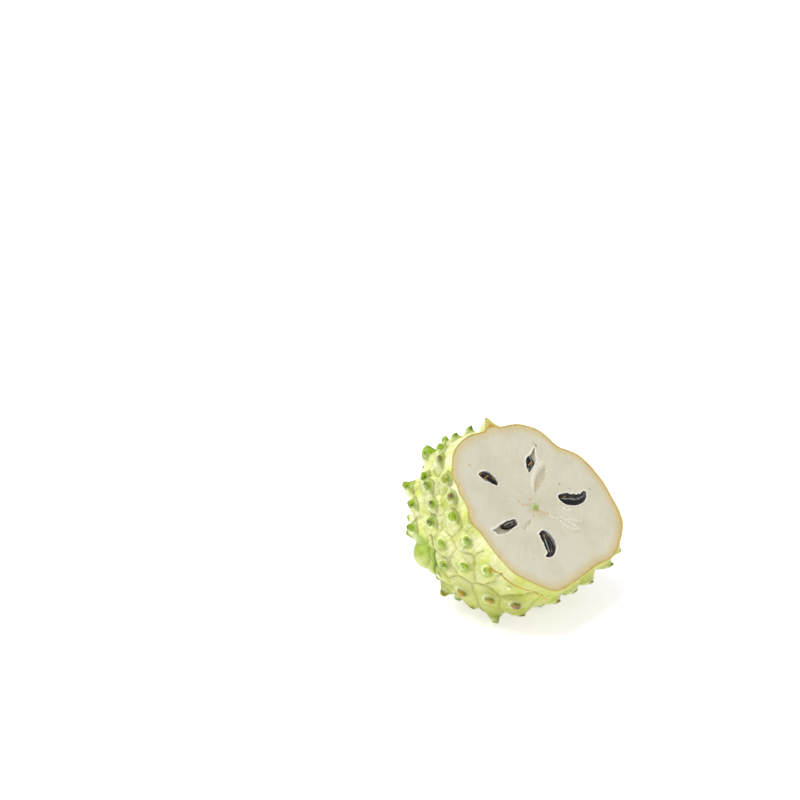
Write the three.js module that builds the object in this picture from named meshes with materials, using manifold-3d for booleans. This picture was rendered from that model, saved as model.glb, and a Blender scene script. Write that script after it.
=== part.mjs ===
// The stem half of a soursop, cut across, lying on its spiny side with the cut face up and forward.
// Units are millimetres and +Z is up. The origin is at the middle of the footprint, on the table.
//
// The half is made in a frame of its own: x and y lie in the cut face and z runs along the fruit's axis,
// so the cut is at z = 0 and the stem end is at z = -BODY_DEPTH. The last lines lean it back and set it down.

import * as THREE from "three";
import { ConvexHull } from "three/addons/math/ConvexHull.js";
import { mergeVertices } from "three/addons/utils/BufferGeometryUtils.js";
import Module from "manifold-3d";

const wasm = await Module();
wasm.setup();

// The fruit's body: the cut's radius every 15 degrees, the body's every 30 degrees below the cut's own
// dents, and how it goes on to the stem end
const CUT_RADII = [
  53.3, 51.6, 46.5, 49.9, 50, 47.8, 47.7, 50.8, 52.8, 51.7, 47.9, 46,
  46.2, 47.3, 49.6, 49.6, 50.6, 46.4, 44.2, 44.5, 50, 53.3, 56, 54.2,
];
const BODY_RADII = [52.5, 46, 49.5, 47, 51, 47, 45.5, 47.5, 49, 44, 48.5, 53];
const CUT_FADE = 0.18;
const BODY_DEPTH = 64;
const BODY_FULLNESS = 2.27;
const STEM_WIDENING = 0.2;
const STEM_SHIFT = new THREE.Vector2(-4.5, 8);
const DIMPLE_DEPTH = 5;
const DIMPLE_RADIUS = 11;
const DIMPLE_SHARE = 0.13;
const FACE_LEAN = THREE.MathUtils.degToRad(42);
const SQUASH = 3.2;

// The skin's spines, each on its own scale. The first are placed one by one: degrees round the fruit,
// degrees from the stem end (90 is the cut), height, and the radius where it is a stout one.
// Those about 2 high are plain scales. The others keep SPINE_PITCH from every other and CUT_CLEARANCE
// from the cut.
const FIRST_SPINES = [
  [83, 89, 6.5], [94, 85, 4.6], [106, 85, 4], [104, 78, 5.5], [118, 84, 5.5], [113, 72.5, 8.5, 4.2],
  [127, 85, 4.5], [131, 75, 5.5], [127, 60, 7], [140, 87.7, 5], [138, 77, 5.5], [151, 87, 5],
  [149, 76, 5], [140, 62, 6], [162, 84, 5], [170, 90, 4], [158, 72, 5.5], [152, 55, 6.5],
  [172, 71, 4.5], [179, 84, 4.5], [184, 63, 4.5], [191, 75, 4.5], [200, 83, 4.5], [205, 59, 4.5],
  [203, 38, 5.5], [217, 69, 4.5], [236, 51, 7], [229, 75, 4.5], [245, 62, 3], [253, 79, 4.5],
  [270, 80, 4.5], [288, 79, 4.5], [306, 81, 4.5], [316, 84, 4.5],
  [224, 42, 2.2], [188, 50, 2.2], [261, 65, 2.2], [277, 70, 2.2], [216, 82, 2.2], [84, 74, 2.2],
];
const LOBE = { turn: 171, polar: 46, height: 7, radius: 9.5 };
const SPINE_PITCH = 12.4;
const SPINE_HEIGHTS = [4.2, 6.2];
const SPINE_LEANS = [1.4, 3.4];
const SPINE_RADIUS = 3.3;
const SPINE_BLUNTNESS = 2.6;
const SCALE_SWELL = 2;
const SCALE_RADIUS = 8;
const SPINE_REACH = 2 * SCALE_RADIUS;
const CUT_CLEARANCE = 10;
const TRIAL_PLACES = 4000;
const SPINE_RINGS = [
  { radius: 1.4, points: 5 },
  { radius: 2.9, points: 8 },
  { radius: 5, points: 10 },
];
const RING_CLEARANCE = 0.8;

// The layers under the skin
const RIND_THICKNESS = 1.2;
const FIT_GAP = 0.3;
const LINING_POINTS = 420;

// The stem's stub, which stands in its dimple
const STUB_RADIUS = 3.4;
const STUB_LENGTH = 7;
const STUB_SINK = 2.2;
const STUB_SIDES = 14;
const STUB_PROFILE = [[0.85, 0], [1, STUB_SINK / STUB_LENGTH], [0.84, 0.82], [0.66, 1]];

// The seeds: where the middle lies in the cut face, which way the long axis points, and the seed's size
const SEEDS = [
  { at: [-18.4, 24.2], turn: 125, size: [15, 7.4, 5.6], depth: 1.4, roll: 12, hollow: 0 },
  { at: [13.6, 21.2], turn: 45, size: [14, 8.2, 6], depth: 1.6, roll: -10, hollow: 8 },
  { at: [27.2, -4.2], turn: -13, size: [20.5, 9, 6.2], depth: 1.2, roll: 6, hollow: 0, bend: 1.6 },
  { at: [-10.8, -20], turn: -114, size: [17.6, 9, 6.2], depth: 1.2, roll: -6, hollow: 0, bend: 1.6 },
  { at: [-24.4, -2.4], turn: 176, size: [14, 7, 5.6], depth: 1.5, roll: 10, hollow: 8 },
];
const SEED_FULLNESS = 0.93;
const SEED_TAPER = 0.14;
const SEED_BEND_MIDDLE = 0.4;
const SEED_SIDES = 18;
const SEED_ROWS = 12;
const POCKET_GAP = 0.45;
const HOLLOW_SHARE = 0.8;

const GOLDEN_ANGLE = Math.PI * (3 - Math.sqrt(5));
const STEP = 1e-3;

// A fixed number from 0 to 1 for each whole number and each use of it
function wobble(index, use) {
  const wave = Math.sin(index * 12.9898 + use * 78.233) * 43758.5453;
  return wave - Math.floor(wave);
}

function between([least, most], share) {
  return least + share * (most - least);
}

// A smooth curve through values spaced evenly round a circle
function roundCurve(values, angle) {
  const count = values.length;
  const place = (angle / (2 * Math.PI)) * count;
  const first = Math.floor(place);
  const t = place - first;
  const [a, b, c, d] = [-1, 0, 1, 2].map((k) => values[(((first + k) % count) + count) % count]);
  return b + 0.5 * t * (c - a + t * (2 * a - 5 * b + 4 * c - d + t * (3 * (b - c) + d - a)));
}

// A point on the smooth body under the spines, for a direction from the middle of the cut
function bodyPoint(direction) {
  const fromAxis = Math.hypot(direction.x, direction.y);
  const around = Math.atan2(direction.y, direction.x);
  const power = 2 / BODY_FULLNESS;
  const along = Math.sign(direction.z) * Math.abs(direction.z) ** power;
  const towardStem = Math.max(0, -along);
  const widening = 1 + STEM_WIDENING * towardStem;
  const nearCut = Math.exp(-((towardStem / CUT_FADE) ** 2));
  const girth = nearCut * roundCurve(CUT_RADII, around) + (1 - nearCut) * roundCurve(BODY_RADII, around);
  const radius = girth * fromAxis ** power * widening;
  const dimple = direction.z < 0 ? DIMPLE_DEPTH * Math.exp(-((radius / DIMPLE_RADIUS) ** 2)) : 0;
  return new THREE.Vector3(
    radius * Math.cos(around) + STEM_SHIFT.x * towardStem,
    radius * Math.sin(around) + STEM_SHIFT.y * towardStem,
    along * BODY_DEPTH + dimple,
  );
}

// Two directions at right angles to a direction: round the fruit, and toward the cut
function sphereAxes(direction) {
  const around = new THREE.Vector3(-direction.y, direction.x, 0);
  if (around.length() < STEP) around.set(1, 0, 0);
  around.normalize();
  return { around, toCut: new THREE.Vector3().crossVectors(direction, around).normalize() };
}

// The body at a direction: the point, the outward normal, and both surface steps per unit of direction
function bodyAt(direction) {
  const { around, toCut } = sphereAxes(direction);
  const point = bodyPoint(direction);
  const stepTo = (axis) =>
    bodyPoint(direction.clone().addScaledVector(axis, STEP).normalize())
      .sub(bodyPoint(direction.clone().addScaledVector(axis, -STEP).normalize()))
      .divideScalar(2 * STEP);
  const aroundStep = stepTo(around);
  const cutStep = stepTo(toCut);
  const normal = new THREE.Vector3().crossVectors(aroundStep, cutStep).normalize();
  return { direction, around, toCut, point, normal, aroundStep, cutStep };
}

// The spines: the placed ones and the lobe, then each next place on a fine spiral that isn't crowded
function spinePlaces() {
  const spine = (direction, height, radius, k) => ({
    ...bodyAt(direction),
    height,
    radius,
    lean: between(SPINE_LEANS, wobble(k, 4)),
  });
  const toDirection = (turn, polar) =>
    directionOf(THREE.MathUtils.degToRad(polar), THREE.MathUtils.degToRad(turn));
  const places = FIRST_SPINES.map(([turn, polar, height, radius = SPINE_RADIUS], k) =>
    spine(toDirection(turn, polar), height, radius, k),
  );
  places.push(spine(toDirection(LOBE.turn, LOBE.polar), LOBE.height, LOBE.radius, places.length));
  for (const direction of evenDirections(TRIAL_PLACES)) {
    const point = bodyPoint(direction);
    const nearCut = point.z > -CUT_CLEARANCE;
    const inDimple = Math.hypot(direction.x, direction.y) < DIMPLE_SHARE;
    if (nearCut || inDimple || places.some((other) => other.point.distanceTo(point) < SPINE_PITCH)) continue;
    const height = between(SPINE_HEIGHTS, wobble(places.length, 3));
    places.push(spine(direction, height, SPINE_RADIUS, places.length));
  }
  return places;
}

function directionOf(polar, turn) {
  const reach = Math.sin(polar);
  return new THREE.Vector3(reach * Math.cos(turn), reach * Math.sin(turn), -Math.cos(polar));
}

// The direction of a point that lies a few millimetres round the fruit and toward the cut from a site
function stepped(site, round, toCut) {
  return site.direction
    .clone()
    .addScaledVector(site.around, round / site.aroundStep.length())
    .addScaledVector(site.toCut, toCut / site.cutStep.length())
    .normalize();
}

// The skin's point over a direction: each scale swells a little and its spine stands out, leaning to the cut
function skinPoint(direction, spines) {
  const site = bodyAt(direction);
  const towardCut = site.cutStep.clone().normalize();
  const raised = site.point.clone();
  for (const spine of spines) {
    const distance = site.point.distanceTo(spine.point);
    if (distance > SPINE_REACH) continue;
    const swell = Math.max(0, 1 - (distance / SCALE_RADIUS) ** 2) ** 2;
    const finger = Math.exp(-((distance / spine.radius) ** SPINE_BLUNTNESS));
    raised.addScaledVector(site.normal, SCALE_SWELL * swell + (spine.height - SCALE_SWELL) * finger);
    raised.addScaledVector(towardCut, spine.lean * finger);
  }
  return raised;
}

// Where the skin's mesh has its points: the tip of each spine and rings round it, inside its own scale
function skinDirections(spines) {
  const found = [];
  spines.forEach((spine, k) => {
    found.push(spine.direction);
    for (const { radius, points } of SPINE_RINGS) {
      for (let i = 0; i < points; i += 1) {
        const angle = ((i + wobble(k, 5)) / points) * 2 * Math.PI;
        const direction = stepped(spine, radius * Math.cos(angle), radius * Math.sin(angle));
        const point = bodyPoint(direction);
        const crowded = spines.some(
          (other) => other !== spine && other.point.distanceTo(point) < radius + RING_CLEARANCE,
        );
        if (!crowded) found.push(direction);
      }
    }
  });
  return found;
}

// Directions spread evenly over a ball
function evenDirections(count) {
  return Array.from({ length: count }, (_, k) => {
    const polar = Math.acos(1 - (2 * (k + 0.5)) / count);
    return directionOf(polar, k * GOLDEN_ANGLE);
  });
}

// A closed solid over a set of directions: their convex hull on the ball says how the points join up
function solidOver(directions, pointOf) {
  const positions = [];
  const hull = new ConvexHull().setFromPoints(directions);
  const placed = new Map(directions.map((direction) => [direction, pointOf(direction)]));
  for (const face of hull.faces) {
    let edge = face.edge;
    do {
      positions.push(...placed.get(edge.head().point).toArray());
      edge = edge.next;
    } while (edge !== face.edge);
  }
  const geometry = new THREE.BufferGeometry();
  geometry.setAttribute("position", new THREE.Float32BufferAttribute(positions, 3));
  return solidOf(geometry);
}

// A closed three.js mesh as a solid for joining and cutting
function solidOf(geometry, matrix = new THREE.Matrix4()) {
  const plain = geometry.clone().applyMatrix4(matrix);
  plain.deleteAttribute("normal");
  plain.deleteAttribute("uv");
  const merged = mergeVertices(plain, 1e-4);
  return new wasm.Manifold(
    new wasm.Mesh({
      numProp: 3,
      vertProperties: merged.getAttribute("position").array,
      triVerts: new Uint32Array(merged.index.array),
    }),
  );
}

function geometryOf(solid) {
  const { vertProperties, triVerts } = solid.getMesh();
  const geometry = new THREE.BufferGeometry();
  geometry.setAttribute("position", new THREE.BufferAttribute(vertProperties, 3));
  geometry.setIndex(new THREE.BufferAttribute(triVerts, 1));
  geometry.computeVertexNormals();
  return geometry;
}

// The lining: the smooth body, drawn in by a depth, with a lid well past the cut
function lining(depth) {
  return solidOver(evenDirections(LINING_POINTS), (direction) => {
    const site = bodyAt(direction);
    return site.point.addScaledVector(site.normal, -depth);
  });
}

// A seed is a flat drop, fuller at its outer end, which bends a little to one side
function dropGeometry([length, width, thickness], bend = 0) {
  const geometry = new THREE.SphereGeometry(1, SEED_SIDES, SEED_ROWS).rotateZ(-Math.PI / 2);
  const position = geometry.getAttribute("position");
  for (let i = 0; i < position.count; i += 1) {
    const x = position.getX(i);
    const full = SEED_FULLNESS + SEED_TAPER * x;
    position.setXYZ(
      i,
      (x * length) / 2,
      (position.getY(i) * full * width) / 2 + bend * (x * x - SEED_BEND_MIDDLE),
      (position.getZ(i) * full * thickness) / 2,
    );
  }
  return geometry;
}

function seedMatrix({ at, turn, depth, roll }) {
  const angles = new THREE.Euler(THREE.MathUtils.degToRad(roll), 0, THREE.MathUtils.degToRad(turn), "ZYX");
  const turned = new THREE.Quaternion().setFromEuler(angles);
  return new THREE.Matrix4().compose(new THREE.Vector3(...at, -depth), turned, new THREE.Vector3(1, 1, 1));
}

// The pocket is a little larger than its seed, and runs on outward where the seed has slid in
function pocketSolid(seed) {
  const loose = seed.size.map((side) => side + 2 * POCKET_GAP);
  const snug = solidOf(dropGeometry(loose, seed.bend), seedMatrix(seed));
  if (!seed.hollow) return snug;
  const [length, width, thickness] = loose;
  const outward = new THREE.Matrix4().makeTranslation(seed.hollow / 2, 0, 0);
  const empty = dropGeometry([length + seed.hollow, width * HOLLOW_SHARE, thickness * HOLLOW_SHARE]);
  return snug.add(solidOf(empty, seedMatrix(seed).multiply(outward)));
}

const spines = spinePlaces();
const upInFruit = [0, Math.sin(FACE_LEAN), Math.cos(FACE_LEAN)];
const keepStemSide = [[0, 0, -1], 0];

// Finish for each material
const rindFinish = new THREE.MeshStandardMaterial({ color: 0xc9dc74, roughness: 0.5, metalness: 0 });
const fleshFinish = new THREE.MeshStandardMaterial({ color: 0xe4e0d0, roughness: 0.45, metalness: 0 });
const seedFinish = new THREE.MeshStandardMaterial({ color: 0x1c1a18, roughness: 0.2, metalness: 0 });
const stemFinish = new THREE.MeshStandardMaterial({ color: 0x7a5a36, roughness: 0.85, metalness: 0 });

function named(name, geometry, material) {
  const mesh = new THREE.Mesh(geometry, material);
  mesh.name = name;
  return mesh;
}

// The stub of the stalk: a stout peg along the fruit's axis, let a little way into the dimple
function stubGeometry(clearance = 0) {
  const pole = bodyPoint(new THREE.Vector3(0, 0, -1));
  const side = STUB_PROFILE.map(
    ([wide, along]) => new THREE.Vector2(STUB_RADIUS * wide + clearance, STUB_LENGTH * along),
  );
  side[0].y -= clearance;
  const profile = [new THREE.Vector2(0, side[0].y), ...side, new THREE.Vector2(0, STUB_LENGTH)];
  const peg = new THREE.LatheGeometry(profile, STUB_SIDES).rotateX(-Math.PI / 2);
  return peg.translate(pole.x, pole.y, pole.z + STUB_SINK);
}

function makeRind() {
  const whole = solidOver(skinDirections(spines), (direction) => skinPoint(direction, spines));
  const half = whole.trimByPlane(...keepStemSide);
  const corners = half.getMesh().vertProperties;
  let lowest = Infinity;
  for (let i = 0; i < corners.length; i += 3) {
    lowest = Math.min(lowest, corners[i + 1] * upInFruit[1] + corners[i + 2] * upInFruit[2]);
  }
  const flattened = half.trimByPlane(upInFruit, lowest + SQUASH);
  const shell = flattened.subtract(lining(RIND_THICKNESS)).subtract(solidOf(stubGeometry(FIT_GAP)));
  return named("rind", geometryOf(shell), rindFinish);
}

function makeFlesh() {
  const half = lining(RIND_THICKNESS + FIT_GAP).trimByPlane(...keepStemSide);
  const pocketed = SEEDS.reduce((solid, seed) => solid.subtract(pocketSolid(seed)), half);
  return named("flesh", geometryOf(pocketed.subtract(solidOf(stubGeometry(FIT_GAP)))), fleshFinish);
}

function makeSeed(seed, index) {
  const mesh = named(`seed_${index + 1}`, dropGeometry(seed.size, seed.bend), seedFinish);
  mesh.applyMatrix4(seedMatrix(seed));
  return mesh;
}

const half = new THREE.Group();
half.add(makeRind(), makeFlesh(), named("stem_stub", stubGeometry(), stemFinish), ...SEEDS.map(makeSeed));
half.rotation.x = FACE_LEAN;

// The half is set down with the middle of its footprint at the origin
const soursop = new THREE.Group();
soursop.add(half);
const reach = new THREE.Box3().setFromObject(soursop, true);
half.position.set(-(reach.min.x + reach.max.x) / 2, -(reach.min.y + reach.max.y) / 2, -reach.min.z);

export default soursop;
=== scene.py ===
# %% [markdown]
# # A soursop half, cut across
#
# This script draws one half of a soursop: a green, spiny fruit cut through its middle, lying on its side
# with the white cut face turned up and toward us. We build four kinds of piece: the skin, the pulp, the
# five black seeds and the short stub of stalk at the hidden end.
#
# The measured frame of the same fruit is loaded first. Every piece we build is laid over its own part of
# that frame, so that size and place stay true. All the shapes are worked out in millimetres, in the
# fruit's own frame: x and y lie in the cut face, z runs along the fruit's axis and the cut is at z = 0.

# %% Load the measured frame
import math

import bmesh
import bpy
import numpy as np
from mathutils import Matrix, Vector


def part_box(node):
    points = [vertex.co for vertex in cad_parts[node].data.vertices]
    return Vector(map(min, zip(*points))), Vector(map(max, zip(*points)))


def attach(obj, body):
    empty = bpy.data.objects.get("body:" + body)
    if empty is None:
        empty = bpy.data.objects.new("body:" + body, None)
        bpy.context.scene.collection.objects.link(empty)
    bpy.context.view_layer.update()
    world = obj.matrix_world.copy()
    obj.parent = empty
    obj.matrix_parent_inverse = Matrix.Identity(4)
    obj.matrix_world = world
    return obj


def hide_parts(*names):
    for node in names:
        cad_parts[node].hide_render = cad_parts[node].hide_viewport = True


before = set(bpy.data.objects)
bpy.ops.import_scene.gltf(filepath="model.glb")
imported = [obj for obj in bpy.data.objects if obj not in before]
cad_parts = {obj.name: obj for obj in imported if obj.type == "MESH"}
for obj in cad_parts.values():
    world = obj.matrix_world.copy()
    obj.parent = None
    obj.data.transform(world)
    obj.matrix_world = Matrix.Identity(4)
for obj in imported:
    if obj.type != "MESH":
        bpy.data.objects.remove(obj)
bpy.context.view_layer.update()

MM = 0.001
print("parts of the frame:", sorted(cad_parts))

# %% [markdown]
# ## The fruit's measures
#
# A soursop is a lumpy egg. Its girth changes round the cut, and lower down the dents smooth out and the
# body drifts to one side. We keep the same few numbers as the measured part, so that our finer skin lies
# closely over it.

# %% The fruit's measures
CUT_RADII = np.array([
    53.3, 51.6, 46.5, 49.9, 50, 47.8, 47.7, 50.8, 52.8, 51.7, 47.9, 46,
    46.2, 47.3, 49.6, 49.6, 50.6, 46.4, 44.2, 44.5, 50, 53.3, 56, 54.2,
])
BODY_RADII = np.array([52.5, 46, 49.5, 47, 51, 47, 45.5, 47.5, 49, 44, 48.5, 53])
BODY_DEPTH = 64.0
BODY_FULLNESS = 2.27
CUT_FADE = 0.18
STEM_WIDENING = 0.2
STEM_SHIFT = np.array([-4.5, 8.0])
DIMPLE_DEPTH = 5.0
DIMPLE_RADIUS = 11.0
DIMPLE_SHARE = 0.13
FACE_LEAN = math.radians(42)

# %% [markdown]
# A few little helpers come first. `wobble` gives a fixed "random" number for each index, so that the fruit
# is the same every time, and `ripple` builds a soft unevenness from it. `round_curve` runs a smooth closed
# curve through values spaced round a circle. `fade` is 1 at a place and falls away with distance.

# %% Helpers for numbers that vary
GOLDEN_ANGLE = math.pi * (3 - math.sqrt(5))
STEP = 1e-3


def wobble(index, use):
    wave = np.sin(np.asarray(index) * 12.9898 + use * 78.233) * 43758.5453
    return wave - np.floor(wave)


def smooth_between(a, b, c, d, t):
    """A smooth curve from b to c, with a before it and d after it, as t goes from 0 to 1."""
    return b + 0.5 * t * (c - a + t * (2 * a - 5 * b + 4 * c - d + t * (3 * (b - c) + d - a)))


def round_curve(values, angle):
    count = len(values)
    place = np.asarray(angle) / (2 * math.pi) * count
    first = np.floor(place).astype(int)
    return smooth_between(*(values[(first + k) % count] for k in (-1, 0, 1, 2)), place - first)


def unit(vectors):
    return vectors / np.maximum(np.linalg.norm(vectors, axis=-1, keepdims=True), 1e-12)


def even_turns(count):
    return np.arange(count) / count * 2 * math.pi


def ripple(points, size, use, waves=9):
    """A soft unevenness between about -1 and 1, whose bumps are roughly `size` apart."""
    points = np.atleast_2d(points)
    total = np.zeros(len(points))
    for k in range(waves):
        heading = unit(np.array([wobble(k, use + j) - 0.5 for j in range(points.shape[1])]))
        wave = points @ heading * (2 * math.pi / size) * (0.7 + 0.6 * wobble(k, use + 5))
        total += np.sin(wave + 6.3 * wobble(k, use + 7))
    return total / math.sqrt(waves)


def smooth_step(value, low, high):
    share = np.clip((value - low) / (high - low), 0, 1)
    return share * share * (3 - 2 * share)


def fade(distance, width, power=2):
    return np.exp(-((distance / width) ** power))


# %% [markdown]
# ## The smooth body
#
# Before any spine there is a smooth body. For each direction from the middle of the cut we get a point,
# the outward normal and the way toward the cut. All of it works on whole arrays at once.

# %% The smooth body
def direction_of(polar, turn):
    reach = np.sin(polar)
    return np.stack([reach * np.cos(turn), reach * np.sin(turn), -np.cos(polar)], axis=-1)


def even_directions(count):
    index = np.arange(count)
    return direction_of(np.arccos(1 - 2 * (index + 0.5) / count), index * GOLDEN_ANGLE)


def body_points(direction):
    from_axis = np.hypot(direction[:, 0], direction[:, 1])
    around = np.arctan2(direction[:, 1], direction[:, 0])
    power = 2 / BODY_FULLNESS
    along = np.sign(direction[:, 2]) * np.abs(direction[:, 2]) ** power
    toward_stem = np.maximum(0, -along)
    near_cut = fade(toward_stem, CUT_FADE)
    girth = near_cut * round_curve(CUT_RADII, around) + (1 - near_cut) * round_curve(BODY_RADII, around)
    radius = girth * from_axis ** power * (1 + STEM_WIDENING * toward_stem)
    dimple = np.where(direction[:, 2] < 0, DIMPLE_DEPTH * fade(radius, DIMPLE_RADIUS), 0)
    return np.stack([
        radius * np.cos(around) + STEM_SHIFT[0] * toward_stem,
        radius * np.sin(around) + STEM_SHIFT[1] * toward_stem,
        along * BODY_DEPTH + dimple,
    ], axis=-1)


def body_sites(direction):
    """The point, the outward normal and the unit step toward the cut, for each direction."""
    around = np.stack([-direction[:, 1], direction[:, 0], np.zeros(len(direction))], axis=-1)
    around[np.linalg.norm(around, axis=1) < STEP] = (1, 0, 0)
    around = unit(around)
    to_cut = unit(np.cross(direction, around))

    def step_to(axis):
        ahead = body_points(unit(direction + axis * STEP))
        behind = body_points(unit(direction - axis * STEP))
        return (ahead - behind) / (2 * STEP)

    around_step = step_to(around)
    cut_step = step_to(to_cut)
    return body_points(direction), unit(np.cross(around_step, cut_step)), unit(cut_step)


# %% [markdown]
# ## From the fruit's frame to the table
#
# The half lies leaning back, with its cut face turned up by 42 degrees. To find where the cut's middle
# stands over the table we work out the five seeds here and compare them with the boxes of the measured
# seeds. The answers must agree, which checks the whole chain of measures.

# %% Where the fruit stands
SEEDS = [
    dict(at=(-18.4, 24.2), turn=125, size=(15, 7.4, 5.6), depth=1.4, roll=12, bend=0),
    dict(at=(13.6, 21.2), turn=45, size=(14, 8.2, 6), depth=1.6, roll=-10, bend=0),
    dict(at=(27.2, -4.2), turn=-13, size=(20.5, 9, 6.2), depth=1.2, roll=6, bend=1.6),
    dict(at=(-10.8, -20), turn=-114, size=(17.6, 9, 6.2), depth=1.2, roll=-6, bend=1.6),
    dict(at=(-24.4, -2.4), turn=176, size=(14, 7, 5.6), depth=1.5, roll=10, bend=0),
]
SEED_SIDES, SEED_ROWS = 18, 12
SEED_FULLNESS, SEED_TAPER, SEED_BEND_MIDDLE = 0.93, 0.14, 0.4
LEAN = np.array(Matrix.Rotation(FACE_LEAN, 3, "X"))


def measured_seed(seed):
    theta = np.repeat(np.arange(SEED_ROWS + 1) / SEED_ROWS * math.pi, SEED_SIDES)
    phi = np.tile(even_turns(SEED_SIDES), SEED_ROWS + 1)
    x, y, z = np.cos(theta), np.cos(phi) * np.sin(theta), np.sin(phi) * np.sin(theta)
    length, width, thickness = seed["size"]
    full = SEED_FULLNESS + SEED_TAPER * x
    side = y * full * width / 2 + seed["bend"] * (x * x - SEED_BEND_MIDDLE)
    drop = np.stack([x * length / 2, side, z * full * thickness / 2], axis=-1)
    turned = Matrix.Rotation(math.radians(seed["turn"]), 3, "Z")
    turned = turned @ Matrix.Rotation(math.radians(seed["roll"]), 3, "X")
    return drop @ np.array(turned).T + (*seed["at"], -seed["depth"])


def face_centre():
    offsets = []
    for k, seed in enumerate(SEEDS):
        leaning = measured_seed(seed) @ LEAN.T
        low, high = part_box(f"seed_{k + 1}")
        offsets.append(np.array(low) / MM - leaning.min(axis=0))
        offsets.append(np.array(high) / MM - leaning.max(axis=0))
    print("agreement of the seeds in mm:", np.ptp(offsets, axis=0).round(3).tolist())
    return np.mean(offsets, axis=0)


CENTRE = face_centre()
print("the cut's middle stands at", CENTRE.round(2).tolist(), "mm")


def to_table(points):
    """Fruit millimetres to the table's metres."""
    return (np.asarray(points) @ LEAN.T + CENTRE) * MM


# %% [markdown]
# ## The camera
#
# The photograph looks down on the fruit from its left front, 22 degrees above the table, through a long
# lens. We write the camera's place as a distance back from the middle of the cut and two small shifts,
# because those three numbers are easy to match to a photograph one after the other.

# %% The camera, made first
VIEW_TURN = math.radians(-48.7)
VIEW_RISE = math.radians(22)
VIEW_DISTANCE = 982.2
VIEW_ASIDE = 71.24
VIEW_ABOVE = 54.6
LENS, SENSOR_WIDTH = 85, 36


def make_camera():
    level = math.cos(VIEW_RISE)
    back = Vector((math.sin(VIEW_TURN) * level, -math.cos(VIEW_TURN) * level, math.sin(VIEW_RISE)))
    right = Vector((math.cos(VIEW_TURN), math.sin(VIEW_TURN), 0))
    up = back.cross(right)
    data = bpy.data.cameras.new("studio_camera")
    data.lens = LENS
    data.sensor_width = SENSOR_WIDTH
    camera = bpy.data.objects.new("studio_camera", data)
    turned = Matrix((right, up, back)).transposed().to_4x4()
    place = Vector(CENTRE) + back * VIEW_DISTANCE - right * VIEW_ASIDE + up * VIEW_ABOVE
    camera.matrix_world = Matrix.Translation(place * MM) @ turned
    bpy.context.collection.objects.link(camera)
    bpy.context.scene.camera = camera
    return back, right, up


BACK, RIGHT, UP = make_camera()

# %% [markdown]
# ## The floor, the sky and the lamp
#
# The background is pure white with only a faint shadow, as on a light table: so the pale floor glows
# a little by itself, an even white sky fills in, and one large soft sun from the upper left gives the face
# and the spines their modelling. The glow is slightly violet, which keeps the shadow beside the green
# skin neutral.

# %% The floor, the sky and the lamp
FLOOR_HALF = 6.0
FLOOR_CELLS = 8
FLOOR_GLOW = 0.58
SKY_STRENGTH = 0.5
KEY_STRENGTH = 2.7
KEY_WIDTH = math.radians(40)


def paper_finish():
    material = bpy.data.materials.new("white paper")
    material.use_nodes = True
    sockets = material.node_tree.nodes["Principled BSDF"].inputs
    sockets["Base Color"].default_value = (0.93, 0.93, 0.93, 1)
    sockets["Roughness"].default_value = 0.9
    sockets["Specular IOR Level"].default_value = 0.1
    sockets["Emission Color"].default_value = (0.9, 0.84, 1, 1)
    sockets["Emission Strength"].default_value = FLOOR_GLOW
    return material


def make_floor():
    steps = np.linspace(-FLOOR_HALF, FLOOR_HALF, FLOOR_CELLS + 1)
    corners = [(x, y, 0) for y in steps for x in steps]
    row = FLOOR_CELLS + 1
    starts = [j * row + i for j in range(FLOOR_CELLS) for i in range(FLOOR_CELLS)]
    mesh = bpy.data.meshes.new("floor")
    mesh.from_pydata(corners, [], [(at, at + 1, at + row + 1, at + row) for at in starts])
    mesh.materials.append(paper_finish())
    floor = bpy.data.objects.new("floor", mesh)
    bpy.context.collection.objects.link(floor)
    return floor


def make_sky():
    world = bpy.data.worlds.new("soft sky")
    world.use_nodes = True
    world.node_tree.nodes["Background"].inputs["Color"].default_value = (1, 1, 1, 1)
    world.node_tree.nodes["Background"].inputs["Strength"].default_value = SKY_STRENGTH
    bpy.context.scene.world = world


def make_lamp(aim_from):
    data = bpy.data.lights.new("key_lamp", "SUN")
    data.energy = KEY_STRENGTH
    data.angle = KEY_WIDTH
    lamp = bpy.data.objects.new("key_lamp", data)
    lamp.matrix_world = aim_from.to_track_quat("Z", "Y").to_matrix().to_4x4()
    bpy.context.collection.objects.link(lamp)


make_floor()
make_sky()
make_lamp(BACK * 0.5 + UP * 1.2 - RIGHT * 0.5)
bpy.context.scene.view_settings.view_transform = "Standard"

# %% [markdown]
# ## The spines
#
# Each scale of the skin carries one soft spine that curls toward the flower end. Those we can see in the
# photograph are set one by one, as turn round the fruit, angle from the stem end and height. The hidden
# ones follow a rule: a fine spiral of places, of which we keep each one that isn't crowded.

# %% The spines
FIRST_SPINES = [
    (83, 89, 6.5), (94, 85, 4.6), (106, 85, 4), (104, 78, 5.5), (118, 84, 5.5), (113, 72.5, 8.5),
    (127, 85, 4.5), (131, 75, 5.5), (127, 60, 7), (140, 87.7, 5), (138, 77, 5.5), (151, 87, 5),
    (149, 76, 5), (140, 62, 6), (162, 84, 5), (170, 90, 4), (158, 72, 5.5), (152, 55, 6.5), (172, 71, 4.5),
    (179, 84, 4.5), (184, 63, 4.5), (191, 75, 4.5), (200, 83, 4.5), (205, 59, 4.5), (203, 38, 5.5),
    (217, 69, 4.5), (236, 51, 7), (229, 75, 4.5), (245, 62, 3), (253, 79, 4.5), (270, 80, 4.5),
    (288, 79, 4.5), (306, 81, 4.5), (316, 84, 4.5), (224, 42, 2.2), (188, 50, 2.2), (261, 65, 2.2),
    (277, 70, 2.2), (216, 82, 2.2), (84, 74, 2.2),
]
LOBE_TURN, LOBE_POLAR, LOBE_HEIGHT, LOBE_RADIUS = 171, 46, 7, 9.5
LOBE_INDEX = len(FIRST_SPINES)
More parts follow.
